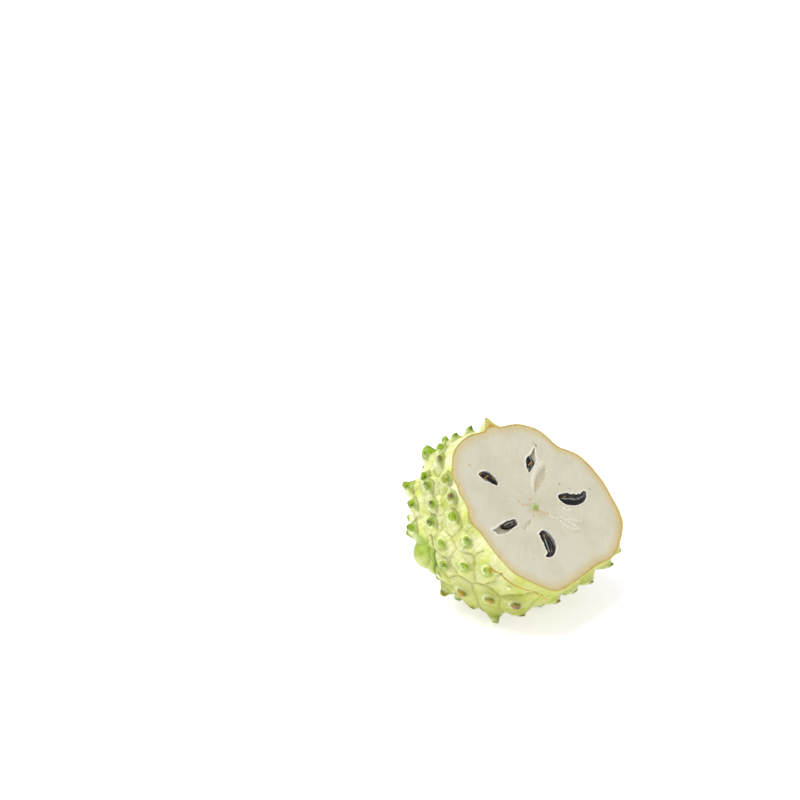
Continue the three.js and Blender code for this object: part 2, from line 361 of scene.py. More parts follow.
SPINE_PITCH = 12.4
SPINE_HEIGHTS = (4.2, 6.2)
SPINE_LEANS = (1.4, 3.4)
CUT_CLEARANCE = 10
TRIAL_PLACES = 4000


def between(ends, share):
    return ends[0] + share * (ends[1] - ends[0])


def spine_table():
    """One row a spine: its direction's three numbers, its height and its lean."""
    placed_by_eye = [*FIRST_SPINES, (LOBE_TURN, LOBE_POLAR, LOBE_HEIGHT)]
    rows = []
    for turn, polar, height in placed_by_eye:
        rows.append((*direction_of(math.radians(polar), math.radians(turn)), height))
    placed = list(body_points(np.array(rows)[:, :3]))
    trial = even_directions(TRIAL_PLACES)
    for direction, point in zip(trial, body_points(trial)):
        in_dimple = math.hypot(direction[0], direction[1]) < DIMPLE_SHARE
        crowded = np.linalg.norm(np.array(placed) - point, axis=1).min() < SPINE_PITCH
        if point[2] > -CUT_CLEARANCE or in_dimple or crowded:
            continue
        rows.append((*direction, between(SPINE_HEIGHTS, wobble(len(placed), 3))))
        placed.append(point)
    leans = between(SPINE_LEANS, wobble(np.arange(len(rows)), 4))
    return np.column_stack([np.array(rows), leans])


SPINES = spine_table()
SPINE_POINTS, _, SPINE_AHEAD = body_sites(SPINES[:, :3])
print(len(SPINES), "spines, of which", len(FIRST_SPINES), "are placed by eye and one is the rounded lobe")

# %% [markdown]
# ## The scales
#
# For every point of the skin we ask which spine is nearest and which comes next. Where the two are equally
# far there is a groove, and so the skin falls into rounded scales by itself. The points are shifted a
# little by a soft noise first, because real scales have wavy outlines. Each point also learns how far it
# lies on the lower right side of its spine, the side away from the light: the brownish groove lines and a
# soft painted shade beside them are drawn only on that side, so the lines are partly the skin's own colour
# and partly painted shade.

# %% The scales
SITE_SHIFT = 1.9
WARP = 0.8
WARP_SIZE = 13
SMOOTH_SIDE = (math.radians(40), math.radians(60), math.radians(-172), math.radians(-150))
SMOOTH_SHARE = 0.85
# The way toward the lower right as the camera sees it, away from the lamp: the side that gets painted shade.
SHADE_WAY = LEAN.T @ np.array(unit(np.array(RIGHT) * 0.8 - np.array(UP) * 0.6))


def along_path(points, path):
    """Distance from each point to a path of places."""
    path = np.asarray(path, float)
    best = np.full(len(points), 1e3)
    for a, b in zip(path[:-1], path[1:]):
        span = b - a
        share = np.clip(((points - a) @ span) / (span @ span), 0, 1)
        best = np.minimum(best, np.linalg.norm(points - a - share[:, None] * span, axis=1))
    return best


def fine_path(places, steps=6):
    """A path of (polar, turn) in degrees, filled in and laid on the body."""
    table = np.radians(np.array(places, float))
    share = np.arange(steps)[:, None] / steps
    legs = [start + share * (end - start) for start, end in zip(table[:-1], table[1:])]
    filled = np.concatenate([*legs, table[-1:]])
    return body_points(direction_of(filled[:, 0], filled[:, 1]))


def nearest_spines(points):
    """The nearest spine, how far the scale's border is, and how much the point is on the painted-shade side.
    """
    warped = points + WARP * np.column_stack([ripple(points, WARP_SIZE, 50 + 9 * k) for k in range(3)])
    sites = SPINE_POINTS - SITE_SHIFT * SPINE_AHEAD
    away = np.stack([np.linalg.norm(warped - site, axis=1) for site in sites], axis=1)
    order = np.argpartition(away, 1, axis=1)[:, :2]
    pair = np.take_along_axis(away, order, axis=1)
    swap = pair[:, 0] > pair[:, 1]
    order[swap] = order[swap][:, ::-1]
    pair[swap] = pair[swap][:, ::-1]
    apart = np.linalg.norm(sites[order[:, 0]] - sites[order[:, 1]], axis=1)
    border = (pair[:, 1] ** 2 - pair[:, 0] ** 2) / (2 * apart)
    # arc: how far toward that shaded side the point lies; the groove lines and painted shade follow it.
    arc = smooth_step(unit(warped - sites[order[:, 0]]) @ SHADE_WAY, -0.15, 0.5)
    turn = np.arctan2(points[:, 1], points[:, 0])
    arc *= 1 - SMOOTH_SHARE * smooth_step(turn, *SMOOTH_SIDE[:2]) * smooth_step(-turn, *SMOOTH_SIDE[2:])
    return order[:, 0], border, arc


# %% [markdown]
# ## The kinds of spine
#
# Every spine is a low swelling, a soft cone with a tail away from the cut, and a blunt nub on top. Near the
# left rim they are long with drawn-out tails, and one is as fat as a finger. Along the lower right they
# are broad and low, and three underneath have big brown nubs. So we write down one plain kind, and for
# the others only what is different.

# %% The kinds of spine
SCALE_SWELL = 2.0
SCALE_RADIUS = 8.0
CONE_FALL = 2.4
NOSE_STEEPNESS = 0.78
NUB_BLUNTNESS = 5
PLAIN = dict(
    lift=0, tail=1.5, cone_radius=3.7, cone_share=0.56,
    nub_radius=2.1, nub_reach=1, green_reach=5.0, edge=0.2,
)
LONG = {
    **PLAIN, "lift": 0.7, "tail": 2.7, "cone_share": 0.66, "nub_radius": 1.85, "green_reach": 4.2, "edge": 1,
}
FINGER = {**LONG, "lift": 0, "cone_share": 0.25, "nub_radius": 4.3, "nub_reach": 0.5}
BROAD = {**PLAIN, "cone_radius": 5.4, "cone_share": 0.88}
BIG_NUB = {**PLAIN, "nub_radius": 2.6, "nub_reach": 0.84}
LONG_COUNT = 18
SPECIAL_KINDS = {5: FINGER, 23: BIG_NUB, 25: BIG_NUB, 27: BIG_NUB, 30: BROAD, 31: BROAD, 32: BROAD, 33: BROAD}
HEIGHT_CHANGES = {26: -0.8, 29: -1.1, 30: -0.6, 32: 0.9, 33: 1.8}
PALE_SPINE = 26
PALE_BY = 0.7
LOW_RISE = 1
LOW_PALE_BY = 2.2
LOBE_FALL = 2.6
NOSE_PLACE, NOSE_WIDTH = 2.8, 1.4
EDGE_PLACE, EDGE_WIDTH = 4.4, 0.38


def spine_forms(k, point):
    """Which points spine k reaches, how far it lifts and leans them, and the facts it gives them."""
    offset = point - SPINE_POINTS[k]
    away = np.linalg.norm(offset, axis=1)
    near = away < 3 * SCALE_RADIUS
    offset, away = offset[near], away[near]
    height, bend = SPINES[k, 3:5]
    swell = SCALE_SWELL * np.maximum(0, 1 - (away / SCALE_RADIUS) ** 2) ** 2
    if k == LOBE_INDEX:
        nub = fade(away, LOBE_RADIUS, LOBE_FALL)
        lobe = smooth_step(away, LOBE_RADIUS * 1.5, LOBE_RADIUS * 1.15)
        return near, swell + (height - SCALE_SWELL) * nub, bend * nub, dict(lobe=lobe)
    is_long = k < LONG_COUNT
    kind = SPECIAL_KINDS.get(k, LONG if is_long else PLAIN)
    rise = height + HEIGHT_CHANGES.get(k, 0) + kind["lift"] - SCALE_SWELL
    along = offset @ SPINE_AHEAD[k]
    across = np.sqrt(np.maximum(0, away ** 2 - along ** 2))
    slanted = np.hypot(across, np.where(along < 0, along / kind["tail"], along / NOSE_STEEPNESS))
    cone = fade(slanted, kind["cone_radius"], CONE_FALL)
    nub = fade(away, kind["nub_radius"], NUB_BLUNTNESS)
    share = kind["cone_share"]
    paler = LOW_PALE_BY if rise < LOW_RISE else PALE_BY * (k == PALE_SPINE)
    strong = min(1, rise / 2)
    # The shaded side of a spine: toward the nose for the long ones, toward the lower right for the rest.
    way = along if is_long else offset @ SHADE_WAY
    # A painted shadow line at the foot of the nose, where it overhangs the next scale.
    nose_edge = fade(slanted - EDGE_PLACE, EDGE_WIDTH) * smooth_step(along, 0.0, 1.6)
    facts = dict(
        distance=away * kind["nub_reach"] + paler,
        hump=fade(slanted, kind["green_reach"], 3) * strong,
        # front: a darker green painted shade on that side of the spine, away from the light.
        front=fade(slanted - NOSE_PLACE, NOSE_WIDTH) * smooth_step(way, -0.4, 1.8) * strong,
        nose_edge=nose_edge * kind["edge"] * strong,
    )
    return near, swell + rise * (share * cone + (1 - share) * nub), bend * (0.4 * cone + 0.6 * nub), facts


# %% [markdown]
# ## The skin's relief
#
# Now the body, the scales and the spines come together. Each point is lifted along its normal and leaned
# toward the cut. Fine pleats run down the spines, and one groove sets off the rounded lobe at the lower
# left, which has no spine of its own.

# %% The skin's relief
VALLEY_DEPTH = 0.85
VALLEY_HALF_WIDTH = 1.15
PLEAT_DEPTH = 0.2
LOBE_GROOVE = [(64, 163), (62.9, 166.8), (60.1, 172.4), (56.6, 178.3), (50.3, 185), (46, 188)]
GROOVE_DEPTH = 1.1
GROOVE_HALF_WIDTH = 0.9
FAR = 99.0


def skin_relief(direction):
    """The skin's points, with what each point knows about its own scale."""
    point, normal, to_cut = body_sites(direction)
    owner, border, arc = nearest_spines(point)
    lift = np.zeros(len(point))
    lean = np.zeros(len(point))
    facts = {name: np.zeros(len(point)) for name in ("hump", "front", "nose_edge", "lobe")}
    facts["distance"] = np.full(len(point), FAR)
    for k in range(len(SPINES)):
        near, rise, bend, own = spine_forms(k, point)
        lift[near] += rise
        lean[near] += bend
        for name, values in own.items():
            keep = np.minimum if name == "distance" else np.maximum
            facts[name][near] = keep(facts[name][near], values)
    inland = smooth_step(-point[:, 2], 2.5, 7)
    lift -= VALLEY_DEPTH * fade(border, VALLEY_HALF_WIDTH) * inland
    lift += 0.14 * ripple(point, 9, 20) + 0.05 * ripple(point, 2.6, 30)
    turn = np.arctan2(point[:, 1], point[:, 0])
    pleats = ripple(np.column_stack([turn * 50, point[:, 2] * 0.1]), 1.5, 35)
    lift += PLEAT_DEPTH * pleats * facts["hump"] * inland
    lift -= GROOVE_DEPTH * fade(along_path(point, fine_path(LOBE_GROOVE)), GROOVE_HALF_WIDTH)
    facts.update(border=border, owner=owner.astype(float), arc=arc, pleats=0.5 + 0.35 * pleats)
    return point + normal * lift[:, None] + to_cut * lean[:, None], facts


# %% [markdown]
# ## Nets of rings
#
# Both the skin and the cut face are nets of rings round one axis. Ring number i has four times i points,
# so the little cells stay about the same size from the middle to the edge. Other helpers join rings with
# the same number of points, zip together rings with different numbers, and close a stack of rings.

# %% Nets of rings
def ring_net(first, last):
    """Ring number and turn of each point, and the triangles between rings `first` and `last`."""
    sizes = [max(4 * i, 1) for i in range(first, last + 1)]
    ring = np.repeat(np.arange(first, last + 1), sizes)
    turn = np.concatenate([even_turns(size) for size in sizes])
    start = dict(zip(range(first, last + 1), np.cumsum([0, *sizes])))
    triangles = []
    for outer in range(first + 1, last + 1):
        inner = outer - 1
        for quarter in range(4):
            j = np.arange(outer)
            a = start[outer] + quarter * outer + j
            b = start[outer] + (quarter * outer + j + 1) % (4 * outer)
            c = start[inner] + ((quarter * inner + j) % (4 * inner) if inner else 0 * j)
            triangles.append(np.stack([a, b, c], axis=1))
            if inner:
                d = start[inner] + (quarter * inner + j + 1) % (4 * inner)
                triangles.append(np.stack([b, d, c], axis=1)[:-1])
    return ring, turn, np.concatenate(triangles)


def belt(first_place, rows, count):
    """Triangles of a band of rows, each with the same number of points, from first_place on."""
    j = np.arange(count)
    triangles = []
    for row in range(rows):
        a = first_place + row * count + j
        b = first_place + row * count + (j + 1) % count
        triangles.append(np.stack([a, a + count, b + count], axis=1))
        triangles.append(np.stack([a, b + count, b], axis=1))
    return np.concatenate(triangles)


def zip_rings(one, one_turn, other, other_turn):
    """Triangles between two closed rings, given as places in rising order of turn."""
    def turn_at(turns, k):
        return turns[k % len(turns)] + 2 * math.pi * (k // len(turns))

    triangles = []
    i = j = 0
    n, m = len(one), len(other)
    while i < n or j < m:
        if j >= m or (i < n and turn_at(one_turn, i + 1) <= turn_at(other_turn, j + 1)):
            triangles.append((one[i % n], one[(i + 1) % n], other[j % m]))
            i += 1
        else:
            triangles.append((one[i % n], other[(j + 1) % m], other[j % m]))
            j += 1
    return np.array(triangles)


def chain_rings(last, last_turn, start, rings):
    """Zips each ring to the one before; the points of the rings are numbered from `start`."""
    bands = []
    for ring, turn in rings:
        here = np.arange(start, start + len(ring))
        bands.append(zip_rings(last, last_turn, here, turn))
        last, last_turn = here, turn
        start += len(ring)
    return bands, last, last_turn


def stack_of_rings(first_pole, rings, last_pole):
    """The points and triangles of equal rings, closed by a pole at each end."""
    points = np.concatenate([[first_pole], *rings, [last_pole]])
    count = len(rings[0])
    j = np.arange(count)
    ahead = (j + 1) % count
    last = len(points) - 1 - count
    first_fan = np.stack([1 + j, 1 + ahead, 0 * j], axis=1)
    last_fan = np.stack([last + ahead, last + j, 0 * j + len(points) - 1], axis=1)
    return points, np.concatenate([first_fan, last_fan, belt(1, len(rings) - 1, count)])


def with_more(values, count, fill=0.0):
    """The values, followed by `count` more that are all `fill`."""
    return np.concatenate([values, np.full((count, *values.shape[1:]), fill)])


# %% [markdown]
# ## Cutting the skin
#
# The knife went straight through at z = 0. We make the skin a little too long and clip every triangle at
# that plane, spines and all, which is how a spine at the edge gets its flat sliced side.

# %% Cutting the skin
def clip_below(points, facts, triangles):
    """Keeps what lies below z = 0. Returns the new net and the cut's edges as pairs of points."""
    above = points[:, 2] > 0
    count = above[triangles].sum(axis=1)
    crossing = triangles[(count == 1) | (count == 2)]
    sides = above[crossing]
    lone = np.where(sides.sum(axis=1) == 1, sides.argmax(axis=1), (~sides).argmax(axis=1))
    a, b, c = (np.take_along_axis(crossing, ((lone + k) % 3)[:, None], axis=1)[:, 0] for k in range(3))
    pairs = np.concatenate([np.stack([a, b], axis=1), np.stack([a, c], axis=1)])
    edges, where = np.unique(np.sort(pairs, axis=1), axis=0, return_inverse=True)
    where = where.reshape(-1)
    share = points[edges[:, 0], 2] / (points[edges[:, 0], 2] - points[edges[:, 1], 2])

    def on_edges(values):
        part = share.reshape(-1, *[1] * (values.ndim - 1))
        return values[edges[:, 0]] * (1 - part) + values[edges[:, 1]] * part

    new_points = on_edges(points)
    new_points[:, 2] = 0
    ab = len(points) + where[: len(a)]
    ac = len(points) + where[len(a):]
    lone_above = above[a]
    single = np.stack([a, ab, ac], axis=1)[~lone_above]
    first = np.stack([ab, b, c], axis=1)[lone_above]
    second = np.stack([ab, c, ac], axis=1)[lone_above]
    all_points = np.concatenate([points, new_points])
    all_facts = {name: np.concatenate([values, on_edges(values)]) for name, values in facts.items()}
    all_triangles = np.concatenate([triangles[count == 0], single, first, second])
    rim = np.where(lone_above[:, None], np.stack([ac, ab], axis=1), np.stack([ab, ac], axis=1))
    used = np.unique(all_triangles)
    place = np.full(len(all_points), -1)
    place[used] = np.arange(len(used))
    kept_facts = {name: values[used] for name, values in all_facts.items()}
    return all_points[used], kept_facts, place[all_triangles], place[rim]


def loops_of(edges):
    """Closed loops from directed edges, longest first."""
    following = {int(a): int(b) for a, b in edges}
    loops = []
    while following:
        start, here = next(iter(following.items()))
        del following[start]
        loop = [start]
        while here != start:
            loop.append(here)
            here = following.pop(here)
        loops.append(np.array(loop))
    return sorted(loops, key=len, reverse=True)


def in_order(points, loop):
    """A loop round the axis in rising order of turn, with its turns."""
    turn = np.mod(np.arctan2(points[loop, 1], points[loop, 0]), 2 * math.pi)
    if np.median(np.diff(turn)) < 0:
        loop, turn = loop[::-1], turn[::-1]
    first = int(turn.argmin())
    return np.roll(loop, -first), np.maximum.accumulate(np.roll(turn, -first))


# %% [markdown]
# ## Turning nets into Blender objects
#
# One function makes a mesh object from points and triangles, hangs the named facts on its points as
# attributes (the materials read them) and checks that the shell is closed. Its faces are turned outward
# first: light and thickness only come out right when a closed shell knows its outside.

# %% Turning nets into objects
SHARP_ANGLE = math.radians(62)
CUBIC_CM = 1e6


def open_edges(triangles):
    sides = np.concatenate([triangles[:, ends] for ends in ([0, 1], [1, 2], [2, 0])])
    _, times = np.unique(np.sort(sides, axis=1), axis=0, return_counts=True)
    return int((times != 2).sum())


def face_outward(mesh):
    """Turns every face outward and returns the volume inside, in cubic centimetres."""
    shell = bmesh.new()
    shell.from_mesh(mesh)
    bmesh.ops.recalc_face_normals(shell, faces=shell.faces)
    if shell.calc_volume(signed=True) < 0:
        bmesh.ops.reverse_faces(shell, faces=shell.faces)
    cubic_cm = shell.calc_volume(signed=True) * CUBIC_CM
    shell.to_mesh(mesh)
    shell.free()
    return cubic_cm


def make_piece(name, points, triangles, facts, material, node, slot):
    mesh = bpy.data.meshes.new(name)
    mesh.from_pydata(to_table(points).tolist(), [], triangles.tolist())
    mesh.validate()
    cubic_cm = face_outward(mesh)
    mesh.shade_smooth()
    mesh.set_sharp_from_angle(angle=SHARP_ANGLE)
    for fact, values in facts.items():
        values = np.asarray(values, dtype=np.float32)
        kind, field = ("FLOAT_VECTOR", "vector") if values.ndim == 2 else ("FLOAT", "value")
        mesh.attributes.new(fact, kind, "POINT").data.foreach_set(field, values.ravel())
    mesh.materials.append(material)
    piece = bpy.data.objects.new(name, mesh)
    bpy.context.collection.objects.link(piece)
    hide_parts(node)
    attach(piece, "root")
    print(f"{name}: {len(triangles)} triangles, {open_edges(triangles)} open edges, {cubic_cm:.1f} cm3")


# %% [markdown]
# ## Material helpers
#
# Each finish is a small network of shader nodes. We think of it as painting: start from one colour and
# `paint` others over it, each as thickly as a number from 0 to 1 says. That number often is a fact from
# the mesh, so a helper takes a fact's name wherever it takes a number. Colours are written as we see them
# on screen, 0 to 255, and turned into the linear values that shaders use.

# %% Material helpers
def srgb(red, green, blue):
    values = np.array([red, green, blue]) / 255
    linear = np.where(values <= 0.04045, values / 12.92, ((values + 0.055) / 1.055) ** 2.4)
    return (*linear.tolist(), 1)


class Finish:
    """A material under construction: its colour so far, and short names for the nodes we use most."""

    def __init__(self, name, colour):
        self.material = bpy.data.materials.new(name)
        self.material.use_nodes = True
        self.tree = self.material.node_tree
        self.shader = self.tree.nodes["Principled BSDF"]
        self.colour = colour

    def put(self, socket, value):
        if isinstance(value, str):
            value = self.node("ShaderNodeAttribute", attribute_name=value).outputs["Fac"]
        if isinstance(value, bpy.types.NodeSocket):
            self.tree.links.new(value, socket)
        else:
            socket.default_value = value

    def node(self, kind, inputs=None, **settings):
        made = self.tree.nodes.new(kind)
        for key, value in settings.items():
            setattr(made, key, value)
        for key, value in (inputs or {}).items():
            self.put(made.inputs[key], value)
        return made

    def noise(self, scale, detail=3, roughness=0.55, along=None):
        if along:
            at = self.node("ShaderNodeAttribute", attribute_name=along).outputs["Vector"]
        else:
            at = self.node("ShaderNodeTexCoord").outputs["Object"]
        sizes = {"Vector": at, "Scale": scale, "Detail": detail, "Roughness": roughness}
        return self.node("ShaderNodeTexNoise", sizes).outputs["Fac"]

    def math(self, operation, one, other):
        made = self.node("ShaderNodeMath", operation=operation)
        self.put(made.inputs[0], one)
        self.put(made.inputs[1], other)
        return made.outputs[0]

    def times(self, first, *others):
        for other in others:
            first = self.math("MULTIPLY", first, other)
        return first

    def span(self, value, low, high, to_low=0.0, to_high=1.0):
        limits = {"Value": value, "From Min": low, "From Max": high, "To Min": to_low, "To Max": to_high}
        return self.node("ShaderNodeMapRange", limits, interpolation_type="SMOOTHSTEP").outputs["Result"]

    def mix(self, share, one, other):
        made = self.node("ShaderNodeMix", data_type="RGBA", clamp_factor=True)
        for place, value in zip((0, 6, 7), (share, one, other)):
            self.put(made.inputs[place], srgb(*value) if isinstance(value, tuple) else value)
        return made.outputs[2]

    def paint(self, share, colour):
        self.colour = self.mix(share, self.colour, colour)

    def bumps(self, *layers):
        """Bumps laid over one another, each with a height, a strength and a depth in metres."""
        made = None
        for height, strength, depth in layers:
            below = made
            made = self.node("ShaderNodeBump", {"Height": height, "Strength": strength, "Distance": depth})
            if below:
                self.put(made.inputs["Normal"], below.outputs["Normal"])
        return made.outputs["Normal"]

    def finish(self, **values):
        self.put(self.shader.inputs["Base Color"], self.colour)
        for key, value in values.items():
            self.put(self.shader.inputs[key.replace("_", " ")], value)
        return self.material


# %% [markdown]
# ## The skin's finish
#
# Soursop skin is pale yellow-green and a little waxy, streaked along the fruit. The spines are greener,
# most of all at the nub. Some tips have gone brown or purple. The grooves between scales are thin, broken
# and brownish. Near the cut run a thin golden slit and a scar, and at the cut itself the skin shows as a
# thin orange-brown line. Shade is painted in too: a darker green on the side of each spine away from the
# light, a shadow line under each nose, the groove lines only on that shaded side, a darker, greener
# underside where the skin turns toward the table, and a dark groove beside the lobe.

# %% The skin's finish
def paint_scales(look, streaks):
    blotch = look.span(look.noise(110, 4, 0.6), 0.4, 0.66)
    pleated = look.times(look.span(streaks, 0.34, 0.64), look.span("pleats", 0.9, 0.2, 0.4, 1.0))
    look.paint(blotch, (221, 228, 128))
    # Painted shade: darker and greener where the skin turns down toward the table.
    look.paint(look.times("shade", 0.85), (166, 175, 48))
    look.paint(look.times(look.span(look.noise(620, 3, 0.6), 0.56, 0.68), 0.35), (186, 194, 70))
    look.paint(look.times(pleated, 0.5), (190, 200, 78))
    # A greener band just below the cut, shown only on the underside: partly the skin's own colour, partly
    # painted shade.
    look.paint(look.times(look.span("scales", 1.0, 0.0, 0.0, 0.75), "shade"), (180, 188, 48))
    look.paint(look.times("hump", look.math("ADD", look.times(pleated, 0.6), 0.32)), (158, 176, 66))
    lobe_patches = look.span(look.noise(90, 3), 0.4, 0.6, 0.35, 0.85)
    look.paint(look.times("lobe", lobe_patches), look.mix(blotch, (158, 186, 40), (130, 162, 12)))


def paint_nubs(look):
    ragged = look.times(look.math("SUBTRACT", look.noise(430, 4, 0.6), 0.5), 1.8)
    distance = look.math("ADD", "distance", ragged)
    nub = look.span(distance, 2.3, 1.85)
    spots = look.span(look.noise(420, 3), 0.48, 0.62)
    look.paint(look.span(distance, 3.5, 2.7, 0, 0.7), (226, 232, 166))
    # Painted shade: a darker green on the side of each spine away from the light.
    look.paint(look.times("front", 0.85), (130, 154, 24))
    # Painted shadow line under each spine's overhanging nose.
    look.paint(look.times("nose_edge", 0.85), (120, 122, 44))
    look.paint(nub, look.mix(spots, (150, 182, 14), (98, 132, 8)))
    return nub


def paint_lines_and_tips(look):
    broken = look.span(look.noise(170, 4, 0.6), 0.42, 0.56)
    # Painted shade beside the grooves, and the brownish groove lines, both only on the side away from the
    # light.
    look.paint(look.times(look.span("border", 1.5, 0.1), "arc", "scales", 0.16), (176, 178, 72))
    look.paint(look.times(look.span("border", 0.45, 0.1), broken, "arc", "scales", 0.7), (154, 122, 46))
    look.paint("tip", look.mix(look.span("distance", 1.3, 2.1), (174, 128, 8), (94, 66, 8)))
    look.paint("purple", (84, 56, 60))
    look.paint(look.span("slit", 0.78, 0.36), (196, 178, 56))
    look.paint(look.times(look.span("slit", 0.42, 0.18), 0.7), (158, 128, 30))
    # Painted shade: the groove beside the lobe is darkened a deep green.
    look.paint(look.span("groove", 0.9, 0.2, 0, 0.75), (86, 104, 34))
    look.paint("scar", (204, 156, 30))
    look.paint("green_bit", (128, 172, 44))
    look.paint(look.span("rim", 0.1, 0.4, 0, 0.85), look.mix("rim_green", (214, 182, 112), (208, 210, 92)))
    broken_rim = look.span(look.noise(190, 4, 0.6), 0.36, 0.6, 0.25, 1.0)
    look.paint(look.times(look.span("rim", 0.55, 0.85), broken_rim), (198, 150, 48))


def skin_finish():
    look = Finish("soursop skin", (246, 246, 198))
    streaks = look.noise(1.0, 5, 0.65, "grain")
    paint_scales(look, streaks)
    nub = paint_nubs(look)
    paint_lines_and_tips(look)
    fine = look.noise(1000, 4, 0.65)
    dent = look.times(look.span("border", 0.0, 0.7), "scales")
    pores = look.noise(300, 5, 0.7)
    relief = look.bumps(
        (streaks, 0.6, 0.0012), (pores, 0.45, 0.0009), (fine, 0.3, 0.0003), (dent, 0.7, 0.0006),
    )
    return look.finish(
        Roughness=look.math("SUBTRACT", look.span(fine, 0.3, 0.7, 0.28, 0.42), look.times(nub, 0.18)),
        Normal=relief, Specular_IOR_Level=0.4, Coat_Weight=0.2, Coat_Roughness=0.08,
        Subsurface_Weight=0.06, Subsurface_Radius=(1.0, 0.9, 0.35), Subsurface_Scale=0.0008,
    )


SKIN_FINISH = skin_finish()
print("the skin's finish has", len(SKIN_FINISH.node_tree.nodes), "nodes")

# %% [markdown]
# ## The skin's net
#
# The rings run from the stalk's dimple up to the cut. The last rows are a plain belt that goes past the
# cut, where the clip leaves a clean rim. Inside, a coarser lining follows the same body a little deeper.

# %% The skin's net
FULL_RINGS = 168
SKIN_RINGS = FULL_RINGS
BELT_POLAR = math.radians(76)
BELT_STEP = 0.45 * FULL_RINGS / SKIN_RINGS
BELT_ABOVE = 8.0
HOLE_RING = SKIN_RINGS // 28
RIND_THICKNESS = 1.2
SKIN_LINE = 0.8
LIP_DROP = 0.25
LINING_START = 86
LINING_ROWS = [(78, 0.25), (64, 0.2), (48, 0.16), (32, 0.12), (18, 0.08), (9, 0.05)]
FEWEST_SIDES = 24


def skin_directions():
    ring, turn, triangles = ring_net(HOLE_RING, SKIN_RINGS)
    polar = ring / SKIN_RINGS * BELT_POLAR
    count = 4 * SKIN_RINGS
    start_height = math.cos(BELT_POLAR) ** (2 / BODY_FULLNESS) * BODY_DEPTH
    rows = int((start_height + BELT_ABOVE) / BELT_STEP)
    heights = start_height - BELT_STEP * np.arange(1, rows + 1)
    cosines = np.sign(heights) * np.abs(heights / BODY_DEPTH) ** (BODY_FULLNESS / 2)
    all_polar = np.concatenate([polar, np.repeat(np.arccos(cosines), count)])
    all_turn = np.concatenate([turn, np.tile(even_turns(count), rows)])
    net = np.concatenate([triangles, belt(len(ring) - count, rows, count)[:, ::-1]])
    return direction_of(all_polar, all_turn), net


def inner_line(turn):
    """The pulp's edge in the cut plane: the skin without its spines, drawn in by the skin's thickness."""
    point, normal, _ = body_sites(direction_of(np.full(len(turn), math.pi / 2), turn))
    away = np.linalg.norm(point[:, None] - SPINE_POINTS[None], axis=2)
    swell = (SCALE_SWELL * np.maximum(0, 1 - (away / SCALE_RADIUS) ** 2) ** 2).sum(axis=1)
    lip = point + normal * (swell - SKIN_LINE)[:, None]
    return np.hypot(lip[:, 0], lip[:, 1])


def lining_ring(polar, count, depth):
    turn = even_turns(count)
    point, normal, _ = body_sites(direction_of(np.full(count, polar), turn))
    return point - normal * depth, turn


def lining_rings(first_polar, count, depth):
    """Ever coarser rings below the body's surface, from just under the cut to the stem end."""
    rings = []
    for polar, share in [(first_polar, 0.5), *LINING_ROWS]:
        sides = max(FEWEST_SIDES, int(count * share))
        rings.append(lining_ring(math.radians(polar), sides, depth))
    return rings


def flatten_on_table(points):
    """The fruit is soft: what would sink into the table is pressed flat against it."""
    up = LEAN.T @ np.array([0, 0, 1.0])
    height = points @ up + CENTRE[2]
    return points + up * np.maximum(0, -height)[:, None]


# %% [markdown]
# ## What the skin's material is told
#
# The marks that make this fruit itself are facts on its points: which tips are brown or purple, the thin
# golden slit that runs below the rim and the small green bit at its end, the scar, the groove beside the
# lobe, and how far a point is from the cut. A slit or a groove is told as a distance, because the shader
# can then draw an edge finer than the mesh. Two facts are for painted shade: how far the skin turns down
# toward the table, and the groove beside the lobe, which the shader darkens.

# %% Marks on the skin
SLIT_PATH = [
    (85.4, 199.6), (85.7, 205.3), (85.8, 209.1), (86.0, 212.3), (86.0, 215.4), (85.8, 218.9), (85.7, 222.1),
    (85.8, 225.2), (86.1, 228), (86.3, 230.8), (86.1, 233.6), (85.2, 237.8), (84.2, 240.6), (82.8, 243.4),
]
BROWN_TIPS = {
    6: 0.4, 9: 0.35, 11: 0.5, 23: 0.95, 24: 0.8, 25: 0.9, 27: 1.0, 28: 1.0, 29: 0.9, 30: 0.6, 31: 0.4,
    32: 0.15, 33: 0.1,
}
PURPLE_TIPS = {
    1: 0.3, 3: 0.4, 6: 0.6, 8: 0.4, 10: 0.9, 11: 0.9, 12: 0.9, 13: 0.5, 16: 0.9, 17: 0.9, 19: 0.6, 27: 0.9,
    29: 0.4, 31: 0.4,
}
SCAR_PLACE, SCAR_RADIUS = (84.3, 201), 1.3
GREEN_BIT, GREEN_BIT_RADIUS = (86.9, 239.2), 1.2
RIM_GREEN = np.array([0, 0, 0.2, 0.6, 0.9, 1, 1, 1, 1, 0.9, 0.5, 0.1])
RIM_START = 0.12


def spot_on(body, place, radius):
    polar, turn = np.radians([place]).T
    return fade(np.linalg.norm(body - body_points(direction_of(polar, turn)), axis=1), radius)


def tip_shades(marked, use, above, strong, weak, weak_by_eye):
    """How strongly each spine's tip is coloured: as marked, faint on the others we see, else at random."""
    shades = np.where(wobble(np.arange(len(SPINES)), use) > above, strong, weak)
    shades[: len(FIRST_SPINES) + 1] = weak_by_eye
    for k, strength in marked.items():
        shades[k] = strength
    return shades


